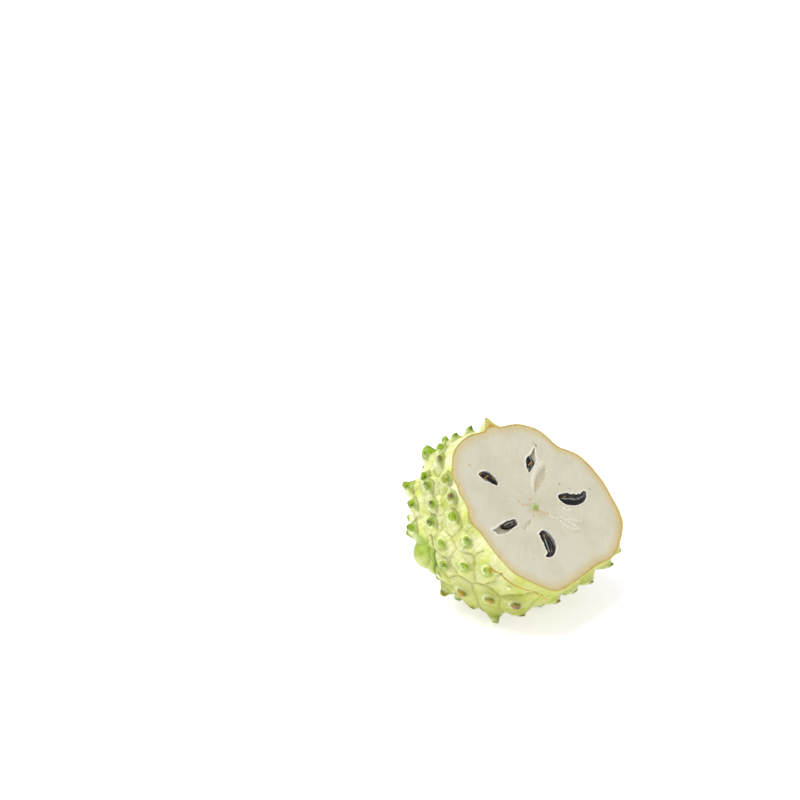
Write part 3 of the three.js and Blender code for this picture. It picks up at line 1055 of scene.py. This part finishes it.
def skin_marks(body, distance, owner, outer, inner):
    brown = tip_shades(BROWN_TIPS, 11, 0.72, 0.5, 0.08, 0.05)
    purple = tip_shades(PURPLE_TIPS, 12, 0.8, 0.4, 0.0, 0.0)
    uneven = 0.5 + 0.5 * ripple(body, 2.2, 40)
    rim = np.zeros(len(body))
    rim[outer] = RIM_START
    rim[inner] = 1.0
    up = LEAN.T @ np.array([0, 0, 1.0])
    turn = np.arctan2(body[:, 1], body[:, 0])
    return dict(
        tip=np.clip(fade(distance, 2.2, 5) * brown[owner] * (0.7 + 0.5 * uneven), 0, 1),
        purple=np.clip(fade(distance, 1.25, 3) * purple[owner] * (0.6 + 0.8 * uneven), 0, 1),
        slit=along_path(body, fine_path(SLIT_PATH)),
        groove=along_path(body, fine_path(LOBE_GROOVE)),
        scar=np.clip(spot_on(body, SCAR_PLACE, SCAR_RADIUS) * (0.4 + 0.9 * uneven), 0, 1),
        green_bit=spot_on(body, GREEN_BIT, GREEN_BIT_RADIUS),
        rim=rim,
        rim_green=round_curve(RIM_GREEN, turn),
        # shade: how far the skin turns down toward the table, for the painted shade underneath.
        shade=smooth_step(-(unit(body) @ up), 0.1, 0.8),
        grain=np.stack([turn * 55, body[:, 2] * 0.16, np.zeros(len(body))], axis=1),
        scales=smooth_step(-body[:, 2], 2.5, 6),
    )


# %% [markdown]
# ## The skin
#
# A narrow lip turns in from the rim to the pulp, and the lining closes the shell from inside, so that the
# skin is one thick closed body, like the real one.

# %% The skin
INSIDE_FACTS = dict(distance=9.0, border=9.0, pleats=0.5)


def make_skin():
    direction, net = skin_directions()
    points, facts = skin_relief(direction)
    facts["body"] = body_points(direction)
    points, facts, net, rim = clip_below(points, facts, net)
    points = flatten_on_table(points)
    outer_loop, *small_loops = loops_of(rim)
    outer, outer_turn = in_order(points, outer_loop)
    turn = even_turns(4 * SKIN_RINGS)
    radius = inner_line(turn)
    lip = np.stack([radius * np.cos(turn), radius * np.sin(turn), np.full(len(turn), -LIP_DROP)], axis=1)
    rings = [(lip, turn), *lining_rings(LINING_START, len(turn), RIND_THICKNESS)]
    bands, last, last_turn = chain_rings(outer, outer_turn, len(points), rings)
    hole = np.arange(4 * HOLE_RING)
    triangles = [net, *bands, zip_rings(last, last_turn, hole, even_turns(len(hole)))]
    inside = [ring for ring, _ in rings]
    for loop in small_loops:
        middle = len(points) + sum(map(len, inside))
        inside.append(points[loop].mean(axis=0)[None])
        triangles.append(np.stack([loop, np.roll(loop, -1), np.full(len(loop), middle)], axis=1))
    inside = np.concatenate(inside)
    body = np.concatenate([facts.pop("body"), inside])
    for name, values in facts.items():
        facts[name] = with_more(values, len(inside), INSIDE_FACTS.get(name, 0.0))
    owner = facts.pop("owner").astype(int)
    lip_places = np.arange(len(points), len(points) + len(lip))
    facts.update(skin_marks(body, facts["distance"], owner, outer, lip_places))
    return np.concatenate([points, inside]), np.concatenate(triangles), facts


make_piece("spiny_skin", *make_skin(), SKIN_FINISH, "rind", "rind")

# %% [markdown]
# ## Openings in the pulp
#
# The knife opened five seed chambers. Each is a closed outline in the cut face, and we need to know how
# far any point is from it: below zero means inside. A smooth closed curve through a few listed
# corners gives outlines that look cut, with the torn flaps the pulp leaves over the seeds. Two chambers
# are longer than the seed that lies in them, so those seeds have outlines of their own.

# %% Openings in the pulp
OPENINGS = [
    [(-22.9, 28.5), (-19.1, 28.9), (-17.2, 28.1), (-15.4, 26.7), (-14.5, 24.2), (-13.9, 21.7),
     (-14.3, 19.2), (-16.7, 18.9), (-18.5, 20.4), (-19.9, 22.3), (-21.5, 23.4), (-22.1, 24.4),
     (-22.9, 26.5)],
    [(11.8, 22.9), (13.7, 24.6), (15.7, 25.3), (17.9, 25.6), (20.3, 26.5), (24.7, 28.3), (22.5, 25.3),
     (20.3, 21.5), (17.9, 20.4), (14.3, 18.8), (9.1, 17.0), (9.5, 18.6), (10.1, 20.7)],
    [(16.5, -1.6), (18.2, -0.5), (20, -0.5), (22.3, -1.2), (24.6, -1.6), (25.6, -2.9), (26.6, -3.4),
     (28.1, -3.5), (29.6, -4.8), (31.8, -5.4), (34, -5.2), (35.8, -4.7), (37.2, -5.4), (37.2, -6.9),
     (35.8, -8.4), (32.6, -9.9), (28.8, -10.4), (25, -10), (22.2, -9.1), (19.4, -7.7), (17.6, -6.1),
     (16.4, -3.9)],
    [(-11.1, -13.6), (-7.5, -12.8), (-5.8, -14.2), (-4.6, -16.6), (-4.1, -19.3), (-4.7, -22.0),
     (-6.4, -24.5), (-9.4, -26.5), (-12.6, -27.3), (-15.7, -26.9), (-17.0, -25.6), (-15.9, -25.1),
     (-14.0, -24.2), (-14.1, -22.9), (-13.5, -20.9), (-12.8, -19.3), (-12.5, -17.2), (-11.9, -15.2)],
    [(-38.1, -0.5), (-34.3, -0.5), (-30.0, -0.1), (-23.2, -0.4), (-19.7, -1.1), (-19.4, -2.3),
     (-19.9, -4.3), (-23.2, -4.7), (-27.8, -5.4), (-32.4, -5.3), (-36.3, -4.0), (-36.9, -2.1)],
]
SEED_OUTLINES = [
    OPENINGS[0],
    [(13.7, 24.6), (15.7, 25.3), (17.6, 25.2), (18.5, 24.4), (18.3, 22.9), (18.2, 21.1), (17.7, 20.4),
     (14.3, 18.9), (9.1, 17.0), (9.5, 18.6), (10.1, 20.7), (11.8, 22.9)],
    OPENINGS[2],
    OPENINGS[3],
    [(-30.2, -1.1), (-26.6, -0.3), (-23.2, -0.5), (-19.8, -1.2), (-19.5, -2.3), (-19.9, -4.0),
     (-22.9, -4.0), (-26.4, -3.7), (-29.2, -2.6)],
]


def closed_curve(corners, steps=10):
    corners = np.array(corners, float)
    t = (np.arange(steps) / steps)[:, None]
    around = [np.roll(corners, shift, axis=0) for shift in (1, 0, -1, -2)]
    return np.concatenate([smooth_between(*places, t) for places in zip(*around)])


def distance_to_loop(points, loop):
    """Signed distance to a closed outline (inside below zero) and the nearest point on it."""
    best = np.full(len(points), 1e6)
    nearest = np.zeros_like(points)
    inside = np.zeros(len(points), bool)
    for a, b in zip(loop, np.roll(loop, -1, axis=0)):
        span = b - a
        share = np.clip(((points - a) @ span) / max(span @ span, 1e-12), 0, 1)
        foot = a + share[:, None] * span
        away = np.linalg.norm(points - foot, axis=1)
        closer = away < best
        best[closer] = away[closer]
        nearest[closer] = foot[closer]
        crosses = (a[1] > points[:, 1]) != (b[1] > points[:, 1])
        if b[1] != a[1]:
            inside ^= crosses & (points[:, 0] < a[0] + (points[:, 1] - a[1]) * (b[0] - a[0]) / (b[1] - a[1]))
    return np.where(inside, -best, best), nearest


# %% [markdown]
# The face drops into each chamber with a steep wall and a pale, slightly raised lip; the lip's paleness
# is partly the cut edge's own and partly a painted highlight. Under the seed the floor is a bowl. Where the
# chamber is empty it is a shallow pocket. Painted shade darkens the inside of each chamber, more lightly in
# the empty pockets, which so come out tan.

# %% Sinking the chambers
OPENING_REACH = 22
LIP_RISE, LIP_WIDTH, PALE_LIP_WIDTH = 0.28, 0.7, 0.55
WALL_WIDTH = 0.28
BOWL_REACH = 3.2
POCKET_FLOOR = 4.4
POCKET_EDGE = 1.15
EMPTY_REACH = 1.6
EMPTY_FLOOR = 1.5
EMPTY_SHADE = 0.45


def near_opening(flat, corners):
    return np.linalg.norm(flat - np.mean(corners, axis=0), axis=1) < OPENING_REACH


def sink_chambers(flat, height):
    """Lowers the heights inside the openings, and tells how pale the lips are and how much painted shade
    darkens the hollows.
    """
    lip = np.zeros(len(flat))
    hollow = np.zeros(len(flat))
    for corners, seed_corners in zip(OPENINGS, SEED_OUTLINES):
        near = near_opening(flat, corners)
        signed, _ = distance_to_loop(flat[near], closed_curve(corners))
        seed_signed, _ = distance_to_loop(flat[near], closed_curve(seed_corners))
        height[near] += LIP_RISE * fade(signed, LIP_WIDTH) * (signed > -0.05)
        # The pale lip: partly the cut edge's own paleness, partly a painted highlight along the rim.
        lip[near] = np.maximum(lip[near], fade(np.maximum(signed, 0), PALE_LIP_WIDTH) * (signed > -0.02))
        inside = np.maximum(-signed, 0)
        wall = np.clip(inside / WALL_WIDTH, 0, 1)
        under_seed = np.clip(-seed_signed / BOWL_REACH, 0, 1)
        bowl = POCKET_EDGE + (POCKET_FLOOR - POCKET_EDGE) * np.sqrt(1 - (1 - under_seed) ** 2)
        empty = POCKET_EDGE + (EMPTY_FLOOR - POCKET_EDGE) * np.clip(inside / EMPTY_REACH, 0, 1)
        floor = np.where(seed_signed < 0, bowl, empty)
        height[near] = np.where(signed < 0, height[near] * (1 - wall) - floor * wall, height[near])
        open_share = EMPTY_SHADE + (1 - EMPTY_SHADE) * np.exp(-np.maximum(seed_signed, 0) / 0.6)
        hollow[near] = np.maximum(hollow[near], smooth_step(inside, 0.02, 0.3) * open_share)
    return lip, hollow


# %% [markdown]
# ## The cut face
#
# The face is one fine net with a height at every point. It carries two sunken folds, pale creases, small
# rusty specks and pits, and the green core, and it dips a little where it meets the skin.

# %% The cut face
FOLDS = [
    [(8.3, 11.5), (13.3, 14.1), (18.6, 16.0), (22.5, 16.5), (22.0, 14.1), (17.7, 10.5), (11.5, 7.7),
     (5.9, 5.4), (4.9, 7)],
    [(-10.1, -5.0), (-9.2, -6.3), (-11.1, -7.5), (-14.9, -8.2), (-17.9, -8.3), (-17.9, -7.4),
     (-14.1, -5.6)],
]
FOLD_RIDGE = [(5.4, 9.6), (10.4, 14.4), (16.4, 17.6), (22.6, 19)]
WRINKLES = [
    [(9.6, -10.8), (11.6, -14.2), (13.6, -17.5), (15.8, -21.6)], [(7.6, -13.4), (8.8, -16.8), (10.1, -19.3),
     (13.4, -21.3)],
    [(13.2, -14.2), (16.6, -16.2), (20.2, -18.9)], [(15.9, -6.9), (15.4, -9.7), (20.1, -10.8)],
     [(3.4, -8.4), (7.2, -11.6)],
]
CORE = (-2.2, -0.7)
CORE_SIZE = (2.3, 1.7)
RUST_SPECKS = [
    (-1.9, 4.2, 0.5), (-6.2, 2.8, 0.45), (-6.6, -3.8, 0.5), (0.8, -5.4, 0.45), (2.8, -6.3, 0.45),
    (-1.7, -5.3, 0.4), (9.8, 8.8, 0.5), (25.6, 30.5, 0.5), (-24.4, 34.7, 0.6), (-24.6, -24, 0.35),
    (-9.6, 6.2, 0.5), (-8.4, 3.6, 0.5), (-0.1, -3.8, 0.4), (1.3, -5.0, 0.45), (2.3, -6.6, 0.4),
    (-6.6, -4.4, 0.4), (-1.5, -2.5, 0.75),
]
PITS = [(26.0, 28.5, 0.75), (23.8, 4.3, 0.5), (28.3, -0.4, 0.35), (41.2, -5.6, 0.35)]
FOLD_DEPTH = 0.6
CREASE_RISE, CREASE_WIDTH = 0.4, 0.9
CREASE_SHADE_DEPTH, CREASE_SHADE_PLACE, CREASE_SHADE_WIDTH = 0.12, 1.2, 0.5
PIT_DEPTH = 0.5
RIM_DROP = 0.25
RIM_DROP_WIDTH = 0.7


def spots(flat, places, power):
    """Small round marks, given as x, y and size."""
    total = np.zeros(len(flat))
    for x, y, size in places:
        total = np.maximum(total, fade(np.hypot(flat[:, 0] - x, flat[:, 1] - y), size, power))
    return total


def fold_pulp(flat, height):
    """Sinks the folds and raises the creases, and tells where they are."""
    fold = np.zeros(len(flat))
    for corners in FOLDS:
        signed, _ = distance_to_loop(flat, closed_curve(corners))
        inside = smooth_step(-signed + 0.4 * ripple(flat, 2.4, 66), -0.5, 1.5)
        fold = np.maximum(fold, inside)
        height -= FOLD_DEPTH * inside
    crease = 0.8 * fade(along_path(flat, FOLD_RIDGE), 1.1)
    crease_shade = np.zeros(len(flat))
    for k, places in enumerate(WRINKLES):
        uneven = 0.65 + 0.35 * ripple(flat, 2.2, 140 + k)
        away = along_path(flat, places) + 0.25 * ripple(flat, 1.8, 170 + k)
        crease = np.maximum(crease, fade(away, CREASE_WIDTH) * uneven)
        crease_shade = np.maximum(crease_shade, fade(away - CREASE_SHADE_PLACE, CREASE_SHADE_WIDTH) * uneven)
    height += CREASE_RISE * crease - CREASE_SHADE_DEPTH * crease_shade
    return dict(fold=fold, crease=np.clip(crease, 0, 1), crease_shade=np.clip(crease_shade, 0, 1))


def face_height(flat, rim_distance):
    """The face's height and the facts its material needs, for points in the cut plane."""
    height = 0.1 * ripple(flat, 26, 60) + 0.035 * ripple(flat, 5, 70)
    lip, hollow = sink_chambers(flat, height)
    facts = fold_pulp(flat, height)
    core = np.hypot((flat[:, 0] - CORE[0]) / CORE_SIZE[0], (flat[:, 1] - CORE[1]) / CORE_SIZE[1])
    height += 0.35 * fade(core, 1, 4) - 0.3 * fade(core - 1.15, 0.25)
    pit = spots(flat, PITS, 4)
    height -= PIT_DEPTH * pit
    height -= RIM_DROP * fade(rim_distance, RIM_DROP_WIDTH)
    facts.update(lip=lip, hollow=hollow, core=fade(core, 1, 3), rust=spots(flat, RUST_SPECKS, 2), pit=pit)
    return height, facts


# %% [markdown]
# ## The pulp's finish
#
# Soursop pulp is cream white and slightly see-through, with faint fibres that fan out from the core. It
# browns where it meets the air at the skin: a thin orange-brown line and a brushed fringe a few
# millimetres deep, stronger in some places than in others. Light sinks in a little, so we give the
# shader some subsurface scattering.

# %% The pulp's finish
def pulp_finish():
    look = Finish("soursop pulp", (212, 208, 186))
    look.paint(look.span(look.noise(60, 4, 0.6), 0.35, 0.68), (205, 200, 175))
    haze = look.times(look.span("reach", 9, 2), look.span(look.noise(260, 4, 0.65), 0.44, 0.62))
    look.paint(look.times(haze, 0.45), (192, 172, 126))
    fan = look.noise(1.0, 5, 0.65, "fibre")
    look.paint(look.times(look.span(fan, 0.5, 0.68), look.span("reach", 30, 3, 0.05, 0.4)), (192, 184, 152))
    strokes = look.noise(1.0, 5, 0.65, "brush")
    depth = look.math("ADD", "edge", look.times(look.math("SUBTRACT", strokes, 0.5), 5.0))
    look.paint(look.times(look.span(depth, 6.2, 0.2), "browning", 0.85), (206, 184, 116))
    look.paint(look.span(depth, 0.8, -0.8, 0, 0.8), (196, 154, 56))
    # hollow is painted shade inside the chambers; lip is partly a painted highlight along their rims.
    for fact, strength, colour in (
        ("fold", 0.8, (188, 180, 148)), ("crease_shade", 0.5, (184, 178, 154)),
        ("crease", 0.6, (234, 231, 213)), ("hollow", 0.9, (118, 110, 88)),
        ("lip", 0.8, (246, 244, 232)), ("core", 1.0, (150, 176, 62)),
        ("rust", 1.0, (194, 148, 62)), ("pit", 0.85, (110, 98, 80)),
    ):
        look.paint(look.times(fact, strength), colour)
    soft = look.noise(220, 5, 0.65)
    return look.finish(
        Roughness=look.span(soft, 0.3, 0.7, 0.34, 0.5),
        Normal=look.bumps((fan, 0.35, 0.0012), (soft, 0.35, 0.0009), (look.noise(900, 4, 0.65), 0.3, 0.0003)),
        Subsurface_Weight=0.2, Subsurface_Radius=(1.0, 0.8, 0.55), Subsurface_Scale=0.0015,
        Coat_Weight=0.08, Coat_Roughness=0.3,
    )


PULP_FINISH = pulp_finish()
print("the pulp's finish has", len(PULP_FINISH.node_tree.nodes), "nodes")

# %% [markdown]
# ## The pulp
#
# Points that fall near an opening's outline are moved onto it, so that the walls come out crisp. Below the
# face a lining like the skin's closes the pulp into one solid body.

# %% The pulp
FACE_RINGS = SKIN_RINGS
SNAP = 0.15
SKIN_GAP = 0.03
LINING_GAP = 0.35
POLE_GAP = 2.4
PULP_LINING_START = 87
OUT_OF_REACH = 50.0
BROWNING = np.array([0.9, 0.85, 0.8, 0.7, 0.75, 0.8, 0.75, 0.7, 0.8, 0.85, 0.9, 0.95])


def face_net():
    """The face's points in the cut plane, their ring shares, turns and radii, and the net."""
    ring, turn, net = ring_net(0, FACE_RINGS)
    radius = inner_line(turn) - SKIN_GAP
    share = ring / FACE_RINGS
    flat = np.stack([share * radius * np.cos(turn), share * radius * np.sin(turn)], axis=1)
    for corners in OPENINGS:
        near = np.flatnonzero(near_opening(flat, corners) & (ring < FACE_RINGS - 2))
        signed, foot = distance_to_loop(flat[near], closed_curve(corners))
        move = np.abs(signed) < SNAP
        flat[near[move]] = foot[move]
    return flat, (1 - share) * radius, turn, net


def make_pulp():
    flat, rim_distance, turn, net = face_net()
    height, facts = face_height(flat, rim_distance)
    top = np.column_stack([flat, height])
    count = 4 * FACE_RINGS
    rings = lining_rings(PULP_LINING_START, count, RIND_THICKNESS + LINING_GAP)
    bands, last, _ = chain_rings(np.arange(len(top) - count, len(top)), even_turns(count), len(top), rings)
    pole, _ = lining_ring(0.0, 1, RIND_THICKNESS + POLE_GAP)
    points = np.concatenate([top, *(ring for ring, _ in rings), pole])
    fan = np.stack([last, np.roll(last, -1), np.full(len(last), len(points) - 1)], axis=1)
    from_core = flat - CORE
    reach = np.hypot(from_core[:, 0], from_core[:, 1])
    way = np.arctan2(from_core[:, 1], from_core[:, 0])
    facts.update(
        edge=rim_distance, browning=round_curve(BROWNING, turn), reach=reach,
        brush=np.column_stack([turn * 40, rim_distance * 0.35, np.zeros(len(turn))]),
        fibre=np.column_stack([np.cos(way) * 6, np.sin(way) * 6, reach * 0.06]),
    )
    extra = len(points) - len(top)
    for name, values in facts.items():
        facts[name] = with_more(values, extra, OUT_OF_REACH * (name == "reach"))
    return points, np.concatenate([net[:, ::-1], *(band[:, ::-1] for band in bands), fan]), facts


make_piece("white_pulp", *make_pulp(), PULP_FINISH, "flesh", "flesh")

# %% [markdown]
# ## The seeds' finish
#
# Five seeds show: black, glossy and flattened, each lying in its chamber. A ridge runs along the back,
# and a pale gleam is painted along it as a highlight, broken up by noise. A few short orange-brown streaks
# are painted on as well.

# %% The seeds' finish
def seed_finish():
    look = Finish("seed coat", (14, 13, 12))
    look.paint(look.times(look.span(look.noise(380, 4, 0.6), 0.45, 0.75), 0.6), (34, 32, 28))
    gleam_breaks = look.span(look.noise(500, 4, 0.6), 0.35, 0.62, 0.25, 1.0)
    # Painted highlight along each seed's ridge.
    look.paint(look.times("painted_gleam", gleam_breaks), (168, 164, 150))
    look.paint("streak", (176, 116, 44))
    look.paint(look.times("side", 0.5), (58, 46, 34))
    grain = look.noise(900, 4, 0.6)
    return look.finish(
        Roughness=look.span(grain, 0.3, 0.7, 0.16, 0.32),
        Normal=look.bumps((look.noise(240, 3, 0.5), 0.35, 0.0008), (grain, 0.15, 0.0003)),
        Specular_IOR_Level=0.3, Coat_Weight=0.12, Coat_Roughness=0.08,
    )


SEED_FINISH = seed_finish()

# %% [markdown]
# ## The seeds
#
# The knife and the pulp hide a part of some seeds, so each one takes the outline we see. It's a stack of
# rings of that outline: a low dome with a crest above, a deeper bowl below.

# %% The seeds
SEED_RINGS = 22
SEED_STEPS = 6
SEED_INSET = 0.12
SEED_EDGE = -0.85
SEED_RISE = 1.15
SEED_SINK = 2.6
CREST_RISE, CREST_WIDTH = 0.45, 0.8
MARK_WIDTH = 0.3
SEED_RIDGES = [
    [(-21.8, 27.6), (-19.2, 25.6), (-15.6, 20.4)],
    [(16.6, 24.4), (14.3, 21.6), (10.6, 18.2)],
    [(19.2, -3.0), (21.5, -3.6), (23.4, -4.6), (26.2, -6.2), (29.4, -7.0), (34.6, -6.8)],
    [(-8.6, -14.6), (-9.2, -18.0), (-9.6, -21.0), (-11.6, -24.4), (-14.4, -26.0)],
    [(-32.0, -1.7), (-27.0, -2.2), (-21.0, -2.6)],
]
# The paths of the painted highlight on each seed.
SEED_GLEAMS = [
    [[(-22.2, 25.8), (-19.8, 22.9), (-18.9, 20.4)]],
    [[(16.4, 24.2), (14.9, 21.3), (12.1, 20.8)]],
    [[(18.6, -3.0), (20.3, -4.1), (23.6, -5.4), (25.7, -6.8), (28.7, -7.4), (32.2, -7.4), (35.2, -6.4)]],
    [[(-9.3, -15.3), (-10.9, -19.7), (-12.9, -24.5)], [(-6.4, -15.4), (-5.6, -18.6), (-6.8, -22.8)]],
    [[(-28.6, -1.5), (-25.6, -1.5), (-22.4, -1.9)]],
]
SEED_STREAKS = [
    [[(-22.2, 27.9), (-20.4, 28.4)], [(-21.8, 24.9), (-17.8, 25.4)], [(-16.4, 22.2), (-16.0, 22.8)]],
    [[(12.6, 21.0), (15.7, 21.4)]],
    [[(20.4, -3.0), (20.8, -2.8)]],
    [[(-9.3, -16.1), (-8.9, -15.7)], [(-11.1, -24.6), (-10.7, -24.4)]],
    [[(-24.3, -2.9), (-23.9, -2.5)]],
]


def strokes_on(points, lines):
    return np.max([fade(along_path(points[:, :2], line), MARK_WIDTH) for line in lines], axis=0)


def make_seed(k):
    outline = closed_curve(SEED_OUTLINES[k], SEED_STEPS)
    middle = outline.mean(axis=0)
    way = unit(outline - middle)
    reach = np.linalg.norm(outline - middle, axis=1) - SEED_INSET
    shares = np.sin(np.arange(1, SEED_RINGS + 1) / SEED_RINGS * math.pi / 2)

    def layer(share, top):
        flat = middle + way * (share * reach)[:, None]
        dome = math.sqrt(max(0, 1 - share ** 2.4))
        if not top:
            return np.column_stack([flat, np.full(len(flat), SEED_EDGE - SEED_SINK * dome)])
        crest = fade(along_path(flat, SEED_RIDGES[k]), CREST_WIDTH) * dome
        rough = 0.05 * ripple(flat, 2.0, 80 + k)
        return np.column_stack([flat, SEED_EDGE + SEED_RISE * dome + CREST_RISE * crest + rough])

    rings = [layer(share, True) for share in shares] + [layer(share, False) for share in shares[-2::-1]]
    top_pole = [*middle, rings[0][:, 2].mean()]
    points, triangles = stack_of_rings(top_pole, rings, [*middle, SEED_EDGE - SEED_SINK])
    facts = dict(
        streak=strokes_on(points, SEED_STREAKS[k]),
        side=smooth_step(-points[:, 2], 0.5, 1.4),
        painted_gleam=strokes_on(points, SEED_GLEAMS[k]) * (points[:, 2] > SEED_EDGE),
    )
    make_piece(f"black_seed_{k + 1}", points, triangles, facts, SEED_FINISH, f"seed_{k + 1}", "seed")


for k in range(len(SEEDS)):
    make_seed(k)

# %% [markdown]
# ## The stub of stalk
#
# At the hidden end a dry, woody stub of stalk stands in its dimple. Nobody sees it in the photograph, so
# it's an informed guess: a ridged peg with a rough broken top.

# %% The stub of stalk
STUB_RADIUS = 3.4
STUB_LENGTH = 7.0
STUB_SINK = 2.2
STUB_INSET = 0.97
STUB_PROFILE = np.array([
    (0.85, 0), (0.9, 0.1), (1, STUB_SINK / STUB_LENGTH), (0.95, 0.5), (0.88, 0.7), (0.84, 0.82), (0.78, 0.93),
    (0.6, 1.0), (0.3, 0.97),
])
STUB_STEPS = 4
STUB_SIDES = 96


def stalk_finish():
    look = Finish("dry stalk", (122, 92, 56))
    look.paint(look.span(look.noise(500, 4, 0.65), 0.35, 0.7), (84, 62, 38))
    fibres = look.noise(1.0, 5, 0.7, "grain")
    look.paint(look.span(fibres, 0.5, 0.75), (160, 132, 90))
    return look.finish(
        Roughness=look.span(fibres, 0.3, 0.7, 0.7, 0.9), Normal=look.bumps((fibres, 0.6, 0.0008)),
    )


def make_stalk():
    pole = body_points(np.array([[0, 0, -1.0]]))[0]
    turn = even_turns(STUB_SIDES)
    shares = np.arange(STUB_STEPS)[:, None] / STUB_STEPS
    legs = [start + shares * (end - start) for start, end in zip(STUB_PROFILE[:-1], STUB_PROFILE[1:])]
    rings = []
    for wide, along in np.concatenate([*legs, STUB_PROFILE[-1:]]):
        ridge = 1 + 0.035 * np.sin(7 * turn + 1.3) + 0.02 * np.sin(17 * turn + 9 * along)
        radius = STUB_RADIUS * wide * ridge * STUB_INSET
        drop = pole[2] + STUB_SINK - along * STUB_LENGTH + 0.15 * along * np.sin(5 * turn)
        x = pole[0] + radius * np.cos(turn)
        y = pole[1] + radius * np.sin(turn)
        rings.append(np.column_stack([x, y, drop]))
    low_end = [*pole[:2], rings[0][:, 2].mean()]
    broken_end = [*pole[:2], rings[-1][:, 2].mean() + 0.2]
    points, triangles = stack_of_rings(low_end, rings, broken_end)
    about = np.arctan2(points[:, 1] - pole[1], points[:, 0] - pole[0])
    grain = np.column_stack([np.cos(about) * 9, np.sin(about) * 9, points[:, 2] * 0.3])
    make_piece("stalk_stub", points, triangles, dict(grain=grain), stalk_finish(), "stem_stub", "stem")


make_stalk()
